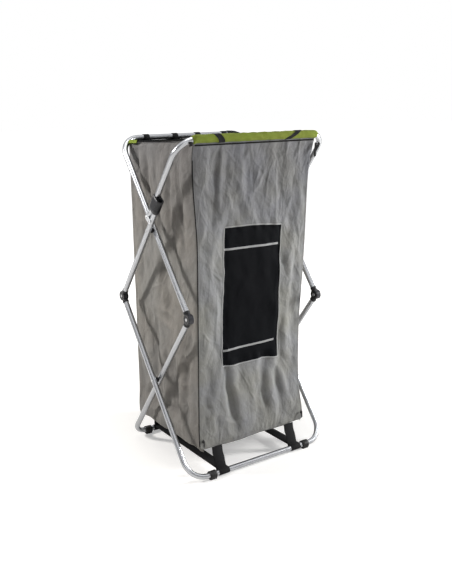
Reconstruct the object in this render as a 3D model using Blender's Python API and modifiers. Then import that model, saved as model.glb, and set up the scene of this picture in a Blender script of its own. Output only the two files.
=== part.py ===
"""Folding camping cupboard: a double-scissor tube frame that carries a fabric case with shelves.

Metres, +Z up. The origin is on the floor in the middle of the feet. The cupboard's front, with the
zipped door and its mesh window, looks along -Y. The two sides are planes of crossed tubes at -X and +X.
"""

import math

import bmesh
import bpy
from mathutils import Matrix, Vector

# Frame tubes
TUBE_RADIUS = 0.0095
TUBE_WALL = 0.0013
TUBE_RESOLUTION = 4
BEND_RADIUS = 0.070
BEND_STEPS = 5

# Scissor geometry. The lean is measured from the vertical, with the cupboard standing open.
OUTER_PLANE = 0.290
LAYER_SPACING = 0.024
LEAN = math.radians(37.8)
ELBOW_REACH = 0.3305
ARM_REACH = 0.366
ELBOW_OFFSET = 0.002
FOOT_RUBBER = 0.005

# Clearances
FACE_GAP = 0.0003
PIN_CLEARANCE = 0.0003

# Elbow knuckles
KNUCKLE_RADIUS = 0.017
KNUCKLE_HALF_THICKNESS = 0.010
TONGUE_HALF_THICKNESS = 0.0035
SOCKET_RADIUS = 0.0102
SOCKET_START = 0.006
SOCKET_REACH = 0.027
PLUG_LENGTH = 0.025
ELBOW_PIN_RADIUS = 0.003

# Rivets and the holes for the small ones, which fix the plugs and the floor rails
RIVET_RADIUS = 0.002
RIVET_HEAD_RADIUS = 0.0036
RIVET_HEAD_HEIGHT = 0.0011
PIVOT_RADIUS = 0.0026
PIVOT_HEAD_RADIUS = 0.0052
PIVOT_HEAD_HEIGHT = 0.0014
SPACER_RADIUS = 0.0095

# Lock joint of the front bow, measured along the strut from the upper crossing
LOCK_PIVOT_REACH = 0.043
STRUT_TOP_REACH = 0.080
BOW_OFFSET = 0.0198
BOW_TAIL_RADIUS = 0.0098
PLATE_RADIUS = 0.009
PLATE_THICKNESS = 0.0016
COLLAR_LENGTH = 0.055
COLLAR_WALL = 0.0032
COLLAR_GAP = 0.0015

# Floor rails and feet
RAIL_JOINT_X = 0.180
SPIGOT_LENGTH = 0.028
SPIGOT_SEAT = 0.004
RAIL_HOLE_INSET = 0.012
FOOT_START_X = 0.185
FOOT_END_X = 0.219
FOOT_RADIUS = 0.0140
SOLE_HALF_DEPTH = 0.0098

# Fabric case: how far its top hangs below the rear rail, the door's top below that, how far its front
# stands back from the floor rail, and half widths of its front and rear
FABRIC = 0.0016
CASE_BOTTOM = 0.090
CASE_DROP = 0.0257
HEADER_DROP = 0.026
FRONT_SETBACK = 0.0363
FRONT_DRAW_IN = 0.008
FRONT_HALF_WIDTH_BOTTOM = 0.221
FRONT_FLARE = 0.013
FRONT_WAIST = 0.015
REAR_HALF_WIDTH = 0.230
ZIP_WIDTH = 0.012
ROOF_THICKNESS = 0.0016
BASE_THICKNESS = 0.008
SHELF_THICKNESS = 0.010
SHELF_HEIGHTS = (0.345, 0.595, 0.845)
SHELF_NAMES = ("lower_shelf", "middle_shelf", "upper_shelf")
BOARD_GAP = 0.0006

# Main folds of the hanging walls: how far they stand out, how many run down a wall, and their slant
SIDE_FOLD_DEPTH = 0.011
SIDE_FOLD_COUNT = 4
SIDE_FOLD_SLANT = 0.35
DOOR_FOLD_DEPTH = 0.007
DOOR_FOLD_COUNT = 4
DOOR_FOLD_SLANT = 0.25
REAR_FOLD_DEPTH = 0.008
REAR_FOLD_COUNT = 5
REAR_FOLD_SLANT = 0.20
WALL_COLUMNS = 20
WALL_ROWS = 8
SHARP_ANGLE = math.radians(35)
CLOTH_SHARP_ANGLE = math.radians(50)
MERGE_DISTANCE = 0.00001

# Mesh window in the door
WINDOW_HALF_WIDTH = 0.114
WINDOW_BOTTOM = 0.371
WINDOW_TOP = 0.829
WINDOW_COLUMNS = 14
WINDOW_ROWS = 4

# Zip sliders
SLIDER_WIDTH = 0.009
SLIDER_DEPTH = 0.006
SLIDER_HEIGHT = 0.014
PULL_WIDTH = 0.006
PULL_DEPTH = 0.0016
PULL_HEIGHT = 0.024
SLIDER_Z = 0.118

# Webbing and sleeve
WEBBING = 0.0016
SLEEVE_RADIUS = 0.0132
LOOP_X = (-0.165, -0.048, 0.048, 0.165)
LOOP_WIDTH = 0.022
STRAP_CLEARANCE = 0.008
STRAP_WIDTH = 0.040

# Places that follow from the sizes above
INNER_PLANE = OUTER_PLANE - LAYER_SPACING
FLOOR_AXIS_Z = TUBE_RADIUS + FOOT_RUBBER
LOWER_CROSSING_Z = FLOOR_AXIS_Z + ARM_REACH * math.cos(LEAN)
CROSSING_SPACING = 2 * (ELBOW_REACH * math.cos(LEAN) + ELBOW_OFFSET * math.sin(LEAN))
UPPER_CROSSING_Z = LOWER_CROSSING_Z + CROSSING_SPACING
FLOOR_RAIL_Y = ARM_REACH * math.sin(LEAN)
REAR_RAIL_Z = UPPER_CROSSING_Z + ARM_REACH * math.cos(LEAN)
FRONT_RAIL_Y = BOW_OFFSET * math.cos(LEAN) - ARM_REACH * math.sin(LEAN)
FRONT_RAIL_Z = UPPER_CROSSING_Z + ARM_REACH * math.cos(LEAN) + BOW_OFFSET * math.sin(LEAN)
REAR_Y = FLOOR_RAIL_Y + FABRIC / 2
CASE_TOP = REAR_RAIL_Z - CASE_DROP
DOOR_TOP = CASE_TOP - HEADER_DROP
FRONT_Y = FLOOR_RAIL_Y - FRONT_SETBACK
FRONT_HALF_WIDTH_TOP = FRONT_HALF_WIDTH_BOTTOM + FRONT_FLARE
STRAP_X = FOOT_START_X - STRAP_CLEARANCE - STRAP_WIDTH / 2
SEAM = FABRIC + FACE_GAP
TUBE_FACETS = 2 * TUBE_RESOLUTION + 4
TUBE_FLATS = math.cos(math.pi / TUBE_FACETS)
BORE_RADIUS = TUBE_RADIUS * TUBE_FLATS - TUBE_WALL
PLUG_RADIUS = BORE_RADIUS - FACE_GAP
TUBE_START = SOCKET_REACH + FACE_GAP
PLUG_HOLE = SOCKET_REACH + PLUG_LENGTH / 2
SEGMENTS = 16
PIN_SEGMENTS = 8
ROUND_FLATS = math.cos(math.pi / SEGMENTS)
SIDES = ((-1, "left"), (1, "right"))


def bar_frame(height, tilt):
    """The frame of a bar through a crossing at this height: Z along the bar, X across the cupboard."""
    return Matrix.Translation((0, 0, height)) @ Matrix.Rotation(tilt, 4, "X")


STRUT_FRAME = bar_frame(UPPER_CROSSING_Z, LEAN)
REAR_BOW_FRAME = bar_frame(UPPER_CROSSING_Z, -LEAN)
FRONT_LEG_FRAME = bar_frame(LOWER_CROSSING_Z, -LEAN)
REAR_LEG_FRAME = bar_frame(LOWER_CROSSING_Z, LEAN)


# Scene, collections and materials

for old in list(bpy.data.objects):
    bpy.data.objects.remove(old)


def make_collection(name):
    collection = bpy.data.collections.new(name)
    bpy.context.scene.collection.children.link(collection)
    return collection


def make_material(name, colour, roughness, metallic=0.0):
    material = bpy.data.materials.new(name)
    material.use_nodes = True
    shader = material.node_tree.nodes["Principled BSDF"]
    shader.inputs["Base Color"].default_value = (*colour, 1.0)
    shader.inputs["Roughness"].default_value = roughness
    shader.inputs["Metallic"].default_value = metallic
    return material


PARTS = make_collection("folding_camping_cupboard")
CUTTERS = make_collection("cutters")

TUBE_METAL = make_material("anodised_tube", (0.78, 0.79, 0.80), 0.32, 1.0)
RIVET_METAL = make_material("rivet_steel", (0.70, 0.70, 0.71), 0.35, 1.0)
PLATE_METAL = make_material("plate_steel", (0.86, 0.87, 0.88), 0.30, 1.0)
KNUCKLE_PLASTIC = make_material("knuckle_plastic", (0.020, 0.020, 0.022), 0.45)
COLLAR_PLASTIC = make_material("collar_plastic", (0.050, 0.050, 0.052), 0.40)
FOOT_BLACK = make_material("foot_rubber", (0.018, 0.018, 0.018), 0.80)
GREY_FABRIC = make_material("grey_fabric", (0.235, 0.235, 0.230), 0.85)
GREEN_FABRIC = make_material("green_fabric", (0.200, 0.255, 0.025), 0.80)
BLACK_MESH = make_material("black_mesh", (0.010, 0.011, 0.014), 0.90)
BLACK_WEBBING = make_material("black_webbing", (0.014, 0.014, 0.015), 0.85)
ZIP_BLACK = make_material("zip_black", (0.016, 0.016, 0.017), 0.60)
SHELF_CLOTH = make_material("shelf_cloth", (0.060, 0.062, 0.065), 0.90)


# Mesh tools

def link(name, mesh, material, frame=Matrix.Identity(4)):
    """Put a mesh in the parts collection, at the frame that its points are measured in."""
    mesh.name = name
    mesh.materials.clear()
    mesh.materials.append(material)
    part = bpy.data.objects.new(name, mesh)
    part.matrix_world = frame
    PARTS.objects.link(part)
    return part


def smooth(mesh, angle=SHARP_ANGLE):
    mesh.shade_smooth()
    mesh.set_sharp_from_angle(angle=angle)


def mesh_from_bmesh(bm):
    mesh = bpy.data.meshes.new("shape")
    bm.to_mesh(mesh)
    bm.free()
    return mesh


def guide(data):
    """A working object that only shapes other pieces."""
    helper = bpy.data.objects.new("guide", data)
    helper.hide_render = True
    helper.display_type = "WIRE"
    CUTTERS.objects.link(helper)
    return helper


def finished(helper):
    """The working object's evaluated mesh. The object itself is removed."""
    graph = bpy.context.evaluated_depsgraph_get()
    mesh = bpy.data.meshes.new_from_object(helper.evaluated_get(graph))
    bpy.data.objects.remove(helper)
    return mesh


def box_mesh(low, high):
    low, high = Vector(low), Vector(high)
    bm = bmesh.new()
    bmesh.ops.create_cube(bm, size=1.0)
    bmesh.ops.scale(bm, vec=high - low, verts=bm.verts)
    bmesh.ops.translate(bm, vec=(low + high) / 2, verts=bm.verts)
    return mesh_from_bmesh(bm)


def rod_mesh(start, end, radius, segments=SEGMENTS):
    """A closed cylinder from one point to another."""
    start, end = Vector(start), Vector(end)
    along = end - start
    bm = bmesh.new()
    bmesh.ops.create_cone(
        bm, cap_ends=True, segments=segments, radius1=radius, radius2=radius, depth=along.length
    )
    turn = Vector((0, 0, 1)).rotation_difference(along).to_matrix().to_4x4()
    bm.transform(Matrix.Translation((start + end) / 2) @ turn)
    return mesh_from_bmesh(bm)


def cross_rod(x, y, z, half_length, radius, segments=SEGMENTS):
    """A rod along X, centred on a point."""
    return rod_mesh((x - half_length, y, z), (x + half_length, y, z), radius, segments)


def combined(base, tool, operation):
    """One mesh from a boolean of two closed meshes."""
    cutter = guide(tool)
    target = guide(base)
    modifier = target.modifiers.new("combine", "BOOLEAN")
    modifier.operation = operation
    modifier.solver = "EXACT"
    modifier.object = cutter
    result = finished(target)
    bpy.data.objects.remove(cutter)
    return result


def union(base, *others):
    for other in others:
        base = combined(base, other, "UNION")
    return base


def cut(base, *tools):
    for tool in tools:
        base = combined(base, tool, "DIFFERENCE")
    return base


def path_mesh(points, radius, capped):
    """The skin of a round bar along the points."""
    curve = bpy.data.curves.new("path", "CURVE")
    curve.dimensions = "3D"
    curve.bevel_depth = radius
    curve.bevel_resolution = TUBE_RESOLUTION
    curve.use_fill_caps = capped
    spline = curve.splines.new("POLY")
    spline.points.add(len(points) - 1)
    for point, place in zip(spline.points, points):
        point.co = (*place, 1.0)
    mesh = finished(guide(curve))
    bm = bmesh.new()
    bm.from_mesh(mesh)
    bmesh.ops.remove_doubles(bm, verts=bm.verts, dist=MERGE_DISTANCE)
    return mesh_from_bmesh(bm)


def thickened(mesh, thickness, offset):
    """An open skin given a wall. An offset of -1 adds it inside the skin, and 1 outside."""
    skin = guide(mesh)
    shell = skin.modifiers.new("wall", "SOLIDIFY")
    shell.thickness = thickness
    shell.offset = offset
    shell.use_even_offset = True
    return finished(skin)


def hollow_tube(points, outer=TUBE_RADIUS, wall=TUBE_WALL):
    """A round tube along the points, open at both ends."""
    return thickened(path_mesh(points, outer, False), wall, -1.0)


def drilled(mesh, *places, radius):
    """Holes along X, each wide enough for its pin."""
    reach = 2 * KNUCKLE_HALF_THICKNESS
    bores = [cross_rod(x, y, z, reach, radius + PIN_CLEARANCE, PIN_SEGMENTS) for x, y, z in places]
    return cut(mesh, *bores)


def rivet_mesh(low, high, radius, head_radius, head_height):
    """A rivet along X through the pieces between low and high, with a head outside each face."""
    start = low - FACE_GAP - head_height
    end = high + FACE_GAP + head_height
    shank = rod_mesh((start, 0, 0), (end, 0, 0), radius, PIN_SEGMENTS)
    first = rod_mesh((start, 0, 0), (start + head_height, 0, 0), head_radius, PIN_SEGMENTS)
    second = rod_mesh((end - head_height, 0, 0), (end, 0, 0), head_radius, PIN_SEGMENTS)
    mesh = union(shank, first, second)
    smooth(mesh)
    return mesh


# Elbow knuckles: the half with two cheeks is on the bar above, the one with a tongue on the bar below

def knuckle_mesh(pivot_y, toward, has_cheeks):
    """A knuckle half at its pivot's height, with its socket and plug toward +Z or -Z of the bar."""
    socket = rod_mesh((0, 0, toward * SOCKET_START), (0, 0, toward * SOCKET_REACH), SOCKET_RADIUS)
    plug = rod_mesh(
        (0, 0, toward * (SOCKET_REACH - FACE_GAP)),
        (0, 0, toward * (SOCKET_REACH + PLUG_LENGTH)),
        PLUG_RADIUS,
    )
    disc = cross_rod(0, pivot_y, 0, KNUCKLE_HALF_THICKNESS, KNUCKLE_RADIUS)
    body = union(socket, disc, plug)
    swing_radius = (KNUCKLE_RADIUS + FACE_GAP) / ROUND_FLATS
    if has_cheeks:
        slot_half = TONGUE_HALF_THICKNESS + FACE_GAP
        body = cut(body, cross_rod(0, pivot_y, 0, slot_half, swing_radius))
    else:
        beyond = 2 * KNUCKLE_HALF_THICKNESS
        centre = (beyond + TONGUE_HALF_THICKNESS) / 2
        slot_half = (beyond - TONGUE_HALF_THICKNESS) / 2
        for side in (-1, 1):
            body = cut(body, cross_rod(side * centre, pivot_y, 0, slot_half, swing_radius))
    body = drilled(body, (0, pivot_y, 0), radius=ELBOW_PIN_RADIUS)
    body = drilled(body, (0, 0, toward * PLUG_HOLE), radius=RIVET_RADIUS)
    smooth(body)
    return body


def knuckles():
    for name, frame, plane, pivot_y, reach, toward, has_cheeks in (
        ("rear_elbow_upper", STRUT_FRAME, OUTER_PLANE, -ELBOW_OFFSET, -ELBOW_REACH, 1, True),
        ("rear_elbow_lower", FRONT_LEG_FRAME, OUTER_PLANE, -ELBOW_OFFSET, ELBOW_REACH, -1, False),
        ("front_elbow_upper", REAR_BOW_FRAME, INNER_PLANE, ELBOW_OFFSET, -ELBOW_REACH, 1, True),
        ("front_elbow_lower", REAR_LEG_FRAME, INNER_PLANE, ELBOW_OFFSET, ELBOW_REACH, -1, False),
    ):
        mesh = knuckle_mesh(pivot_y, toward, has_cheeks)
        for side, hand in SIDES:
            place = frame @ Matrix.Translation((side * plane, 0, reach))
            link(f"{hand}_{name}", mesh.copy(), KNUCKLE_PLASTIC, place)


def elbow_pins():
    mesh = rivet_mesh(
        -KNUCKLE_HALF_THICKNESS, KNUCKLE_HALF_THICKNESS,
        ELBOW_PIN_RADIUS, PIVOT_HEAD_RADIUS, PIVOT_HEAD_HEIGHT,
    )
    for word, frame, plane, pivot_y in (
        ("rear", STRUT_FRAME, OUTER_PLANE, -ELBOW_OFFSET),
        ("front", REAR_BOW_FRAME, INNER_PLANE, ELBOW_OFFSET),
    ):
        for side, hand in SIDES:
            place = frame @ Matrix.Translation((side * plane, pivot_y, -ELBOW_REACH))
            link(f"{hand}_{word}_elbow_pin", mesh.copy(), RIVET_METAL, place)


# Tubes

def bend_points(corner_x, corner_z, start_angle, end_angle, steps=BEND_STEPS):
    """Points of a bend in the bar's own XZ plane, a step at a time."""
    points = []
    for step in range(steps + 1):
        angle = start_angle + (end_angle - start_angle) * step / steps
        x = corner_x + BEND_RADIUS * math.cos(angle)
        z = corner_z + BEND_RADIUS * math.sin(angle)
        points.append((x, 0.0, z))
    return points


def mirrored(points, side):
    return [(side * x, y, z) for x, y, z in points]


def bow_path(half_width, low, high):
    """A bow: up one side, round a bend, across the top and down the other side."""
    bend = bend_points(half_width - BEND_RADIUS, high - BEND_RADIUS, 0.0, math.pi / 2)
    right = [(half_width, 0.0, low), *bend]
    return [*right, *reversed(mirrored(right, -1))]


def leg_path(half_width, top, bottom):
    """A right leg: down its side and round a bend to the floor rail's joint."""
    bend = bend_points(half_width - BEND_RADIUS, bottom + BEND_RADIUS, 0.0, -math.pi / 2)
    return [(half_width, 0.0, top), *bend, (RAIL_JOINT_X, 0.0, bottom)]


def struts():
    """The two tubes from the rear elbows up past the upper crossing, beside the front bow's ends."""
    mesh = hollow_tube([(0, 0, TUBE_START - ELBOW_REACH), (0, 0, STRUT_TOP_REACH)])
    mesh = drilled(mesh, (0, 0, 0), radius=PIVOT_RADIUS)
    mesh = drilled(mesh, (0, 0, LOCK_PIVOT_REACH), (0, 0, PLUG_HOLE - ELBOW_REACH), radius=RIVET_RADIUS)
    smooth(mesh)
    for side, hand in SIDES:
        place = STRUT_FRAME @ Matrix.Translation((side * OUTER_PLANE, 0, 0))
        link(f"{hand}_strut", mesh.copy(), TUBE_METAL, place)


def rear_bow():
    mesh = hollow_tube(bow_path(INNER_PLANE, TUBE_START - ELBOW_REACH, ARM_REACH))
    for x in (-INNER_PLANE, INNER_PLANE):
        mesh = drilled(mesh, (x, 0, 0), radius=PIVOT_RADIUS)
        mesh = drilled(mesh, (x, 0, PLUG_HOLE - ELBOW_REACH), radius=RIVET_RADIUS)
    smooth(mesh)
    link("rear_bow", mesh, TUBE_METAL, REAR_BOW_FRAME)


def front_bow():
    """The front bow, with its two ends rounded so that they turn beside the struts."""
    mesh = hollow_tube(bow_path(OUTER_PLANE, -BOW_TAIL_RADIUS, ARM_REACH - LOCK_PIVOT_REACH))
    beyond = 2 * BOW_TAIL_RADIUS
    for x in (-OUTER_PLANE, OUTER_PLANE):
        waste = box_mesh((x - beyond, -beyond, -beyond), (x + beyond, beyond, 0.0))
        mesh = cut(mesh, cut(waste, cross_rod(x, 0, 0, 2 * beyond, BOW_TAIL_RADIUS)))
        mesh = drilled(mesh, (x, 0, 0), radius=RIVET_RADIUS)
    smooth(mesh)
    link("front_bow", mesh, TUBE_METAL, STRUT_FRAME @ Matrix.Translation((0, BOW_OFFSET, LOCK_PIVOT_REACH)))


def spigot_mesh():
    """A right leg's reduced end, which plugs into the floor rail."""
    seat = rod_mesh(
        (RAIL_JOINT_X + SPIGOT_SEAT, 0, -ARM_REACH), (RAIL_JOINT_X, 0, -ARM_REACH),
        TUBE_RADIUS * TUBE_FLATS - TUBE_WALL / 2,
    )
    spigot = rod_mesh(
        (RAIL_JOINT_X + SPIGOT_SEAT / 2, 0, -ARM_REACH),
        (RAIL_JOINT_X - SPIGOT_LENGTH, 0, -ARM_REACH),
        PLUG_RADIUS,
    )
    return union(seat, spigot)


def button_hole(mesh, x):
    """The hole in the front and back of a floor rail joint, for its snap button."""
    reach = 2 * TUBE_RADIUS
    radius = RIVET_RADIUS + PIN_CLEARANCE
    return cut(mesh, rod_mesh((x, -reach, -ARM_REACH), (x, reach, -ARM_REACH), radius, PIN_SEGMENTS))


def flipped(mesh):
    """The mirror image of a mesh across X."""
    copy = mesh.copy()
    copy.transform(Matrix.Scale(-1, 4, (1, 0, 0)))
    copy.flip_normals()
    return copy


def legs_and_rails():
    hole_x = RAIL_JOINT_X - RAIL_HOLE_INSET
    for word, frame, plane in (
        ("front", FRONT_LEG_FRAME, OUTER_PLANE),
        ("rear", REAR_LEG_FRAME, INNER_PLANE),
    ):
        right = union(hollow_tube(leg_path(plane, ELBOW_REACH - TUBE_START, -ARM_REACH)), spigot_mesh())
        right = drilled(right, (plane, 0, 0), radius=PIVOT_RADIUS)
        right = drilled(right, (plane, 0, ELBOW_REACH - PLUG_HOLE), radius=RIVET_RADIUS)
        right = button_hole(right, hole_x)
        left = flipped(right)
        for hand, leg in (("left", left), ("right", right)):
            smooth(leg)
            link(f"{word}_{hand}_leg", leg, TUBE_METAL, frame)
        half = RAIL_JOINT_X - FACE_GAP
        rail = hollow_tube([(-half, 0, -ARM_REACH), (half, 0, -ARM_REACH)])
        rail = button_hole(button_hole(rail, -hole_x), hole_x)
        smooth(rail)
        link(f"{word}_floor_rail", rail, TUBE_METAL, frame)


# Crossings: a pivot rivet through both layers of tube, with a spacer between them

def crossings():
    middle = (OUTER_PLANE + INNER_PLANE) / 2
    grip = LAYER_SPACING / 2 + TUBE_RADIUS
    rivet = rivet_mesh(-grip, grip, PIVOT_RADIUS, PIVOT_HEAD_RADIUS, PIVOT_HEAD_HEIGHT)
    half = LAYER_SPACING / 2 - TUBE_RADIUS - FACE_GAP
    spacer = drilled(cross_rod(0, 0, 0, half, SPACER_RADIUS), (0, 0, 0), radius=PIVOT_RADIUS)
    smooth(spacer)
    for word, height in (("upper", UPPER_CROSSING_Z), ("lower", LOWER_CROSSING_Z)):
        for side, hand in SIDES:
            place = Matrix.Translation((side * middle, 0, height))
            link(f"{hand}_{word}_crossing_rivet", rivet.copy(), RIVET_METAL, place)
            link(f"{hand}_{word}_crossing_spacer", spacer.copy(), KNUCKLE_PLASTIC, place)


# Lock joint: a plate outside the tubes, its hinge pin, and a collar that slides down over both tubes

def lock_frame(side, along, across=0.0):
    """A place beside a strut, measured along it from the upper crossing and across it toward the bow."""
    return STRUT_FRAME @ Matrix.Translation((side * OUTER_PLANE, across, along))


def lock_plates():
    inner = TUBE_RADIUS + FACE_GAP
    for side, hand in SIDES:
        low, high = sorted((side * inner, side * (inner + PLATE_THICKNESS)))
        plate = box_mesh((low, 0, -PLATE_RADIUS), (high, BOW_OFFSET, PLATE_RADIUS))
        for y in (0.0, BOW_OFFSET):
            plate = union(plate, rod_mesh((low, y, 0), (high, y, 0), PLATE_RADIUS))
        plate = drilled(plate, (0, 0, 0), (0, BOW_OFFSET, 0), radius=RIVET_RADIUS)
        smooth(plate)
        link(f"{hand}_lock_plate", plate, PLATE_METAL, lock_frame(side, LOCK_PIVOT_REACH))


def lock_pins():
    for side, hand in SIDES:
        low, high = sorted((-side * TUBE_RADIUS, side * (TUBE_RADIUS + FACE_GAP + PLATE_THICKNESS)))
        mesh = rivet_mesh(low, high, RIVET_RADIUS, RIVET_HEAD_RADIUS, RIVET_HEAD_HEIGHT)
        link(f"{hand}_lock_pin", mesh, RIVET_METAL, lock_frame(side, LOCK_PIVOT_REACH, BOW_OFFSET))


def collars():
    """The sliding collars, drawn up clear of the struts, so that the front bow can turn."""
    bore = (TUBE_RADIUS + FACE_GAP) / ROUND_FLATS
    outer = bore + COLLAR_WALL
    body = box_mesh((-outer, 0, 0), (outer, BOW_OFFSET, COLLAR_LENGTH))
    for y in (0.0, BOW_OFFSET):
        body = union(body, rod_mesh((0, y, 0), (0, y, COLLAR_LENGTH), outer))
    for y in (0.0, BOW_OFFSET):
        body = cut(body, rod_mesh((0, y, -COLLAR_LENGTH), (0, y, 2 * COLLAR_LENGTH), bore))
    smooth(body)
    for side, hand in SIDES:
        place = lock_frame(side, STRUT_TOP_REACH + COLLAR_GAP)
        link(f"{hand}_lock_collar", body.copy(), COLLAR_PLASTIC, place)


# Feet: rubber rings around the floor ends of the legs, cut flat underneath

def foot_path(half_width):
    """The stretch of a right leg inside its foot, with the first step of the bend where that starts early."""
    corner_x = half_width - BEND_RADIUS
    start = (FOOT_START_X, 0.0, -ARM_REACH)
    if corner_x >= FOOT_END_X:
        return [start, (FOOT_END_X, 0.0, -ARM_REACH)]
    return [start, *bend_points(corner_x, BEND_RADIUS - ARM_REACH, -math.pi / 2, 0.0)[:2]]


def feet():
    for word, frame, plane in (
        ("front", FRONT_LEG_FRAME, OUTER_PLANE),
        ("rear", REAR_LEG_FRAME, INNER_PLANE),
    ):
        rail_y = (frame @ Vector((0, 0, -ARM_REACH))).y
        path = foot_path(plane)
        solid = path_mesh(path, FOOT_RADIUS, True)
        solid.transform(frame)
        sole = box_mesh(
            (FOOT_START_X, rail_y - SOLE_HALF_DEPTH, 0.0),
            (path[-1][0], rail_y + SOLE_HALF_DEPTH, FLOOR_AXIS_Z),
        )
        bore = path_mesh(leg_path(plane, 0.0, -ARM_REACH), TUBE_RADIUS + FACE_GAP, True)
        bore.transform(frame)
        below = box_mesh((0, rail_y - FOOT_RADIUS, -FOOT_RADIUS), (OUTER_PLANE, rail_y + FOOT_RADIUS, 0))
        right = cut(union(solid, sole), bore, below)
        left = flipped(right)
        for hand, foot in (("left", left), ("right", right)):
            smooth(foot)
            link(f"{word}_{hand}_foot", foot, FOOT_BLACK)


# Fabric case

def height_share(z):
    return (z - CASE_BOTTOM) / (CASE_TOP - CASE_BOTTOM)


def front_half_width(z):
    """The case is drawn in at its waist and flares to the sleeve at its top."""
    share = height_share(z)
    straight = FRONT_HALF_WIDTH_BOTTOM + (FRONT_HALF_WIDTH_TOP - FRONT_HALF_WIDTH_BOTTOM) * share
    return straight - FRONT_WAIST * math.sin(math.pi * share)


def front_y(z):
    """The front face. Above the door it leans out to the sleeve that it hangs from."""
    if z <= DOOR_TOP:
        return -FRONT_Y + FRONT_DRAW_IN * math.sin(math.pi * height_share(z))
    share = (z - DOOR_TOP) / (header_top() - DOOR_TOP)
    return front_y(DOOR_TOP) + (FRONT_RAIL_Y - front_y(DOOR_TOP)) * share


def header_top():
    """The header's upper edge, just under the sleeve. The cloth leans, so its inner edge is the higher one."""
    return FRONT_RAIL_Z - SLEEVE_RADIUS - FABRIC / 2 - FACE_GAP


def fold_wave(share, count, slant, z):
    """Folds that run down a wall. They die out at its edges, its top and its hem, and only stand out."""
    up = min(max(height_share(z), 0.0), 1.0)
    edge = math.sin(math.pi * share) ** 2
    ends = math.sin(math.pi * up) ** 0.5
    return edge * ends * math.sin(math.pi * count * (share + slant * up)) ** 2


def sheet_mesh(columns, rows, place, thickness, facing):
    """A thick sheet. Its outer face follows place(share across, share up) and looks along facing."""
    bm = bmesh.new()
    bmesh.ops.create_grid(bm, x_segments=columns, y_segments=rows, size=0.5)
    for vert in bm.verts:
        vert.co = place(vert.co.x + 0.5, vert.co.y + 0.5)
    bm.normal_update()
    if sum((face.normal * face.calc_area() for face in bm.faces), Vector()).dot(facing) < 0:
        bmesh.ops.reverse_faces(bm, faces=bm.faces)
    mesh = thickened(mesh_from_bmesh(bm), thickness, -1.0)
    smooth(mesh, CLOTH_SHARP_ANGLE)
    return mesh


FORWARD = Vector((0, -1, 0))
BACKWARD = Vector((0, 1, 0))


def side_walls():
    for side, hand in SIDES:
        def place(across, up, side=side):
            z = CASE_BOTTOM + (CASE_TOP - CASE_BOTTOM) * up
            start_y = front_y(min(z, DOOR_TOP)) + SEAM
            end_y = REAR_Y - SEAM
            half = front_half_width(z) + (REAR_HALF_WIDTH - front_half_width(z)) * across
            fold = SIDE_FOLD_DEPTH * fold_wave(across, SIDE_FOLD_COUNT, SIDE_FOLD_SLANT, z)
            return Vector((side * (half + fold), start_y + (end_y - start_y) * across, z))
        mesh = sheet_mesh(WALL_COLUMNS, WALL_ROWS, place, FABRIC, Vector((side, 0, 0)))
        link(f"{hand}_side_wall", mesh, GREY_FABRIC)


def rear_wall():
    """The rear wall, with the tabs that hang it from the loops on the rear bow."""
    def place(across, up):
        z = CASE_BOTTOM + (CASE_TOP - CASE_BOTTOM) * up
        fold = REAR_FOLD_DEPTH * fold_wave(across, REAR_FOLD_COUNT, REAR_FOLD_SLANT, z)
        return Vector((REAR_HALF_WIDTH * (2 * across - 1), REAR_Y + fold, z))
    mesh = sheet_mesh(WALL_COLUMNS, WALL_ROWS, place, FABRIC, BACKWARD)
    tab_top = REAR_RAIL_Z - TUBE_RADIUS - WEBBING - 3 * FACE_GAP
    tab_inset = FABRIC / 5
    for x in LOOP_X:
        low = (x - LOOP_WIDTH / 2, REAR_Y - FABRIC + tab_inset, CASE_TOP - FABRIC)
        high = (x + LOOP_WIDTH / 2, REAR_Y - tab_inset, tab_top)
        mesh = union(mesh, box_mesh(low, high))
    smooth(mesh, CLOTH_SHARP_ANGLE)
    link("rear_wall", mesh, GREY_FABRIC)


def door_half_width(z):
    return front_half_width(z) - ZIP_WIDTH


def door_panel(half_width, bottom, top):
    """Points of the door's outer face, inside a half width that may follow the height."""
    def place(across, up):
        z = bottom + (top - bottom) * up
        x = half_width(z) * (2 * across - 1)
        share = (x / door_half_width(z) + 1) / 2
        fold = DOOR_FOLD_DEPTH * fold_wave(share, DOOR_FOLD_COUNT, DOOR_FOLD_SLANT, z)
        return Vector((x, front_y(z) - fold, z))
    return place


def door():
    place = door_panel(lambda z: door_half_width(z) - FACE_GAP, CASE_BOTTOM, DOOR_TOP - FACE_GAP)
    mesh = sheet_mesh(WALL_COLUMNS, WALL_ROWS, place, FABRIC, FORWARD)
    window = box_mesh((-WINDOW_HALF_WIDTH, -2 * FRONT_Y, WINDOW_BOTTOM), (WINDOW_HALF_WIDTH, 0, WINDOW_TOP))
    mesh = cut(mesh, window)
    smooth(mesh, CLOTH_SHARP_ANGLE)
    link("door", mesh, GREY_FABRIC)


def mesh_window():
    half = WINDOW_HALF_WIDTH - FACE_GAP
    place = door_panel(lambda z: half, WINDOW_BOTTOM + FACE_GAP, WINDOW_TOP - FACE_GAP)
    link("mesh_window", sheet_mesh(WINDOW_COLUMNS, WINDOW_ROWS, place, FABRIC, FORWARD), BLACK_MESH)


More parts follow.
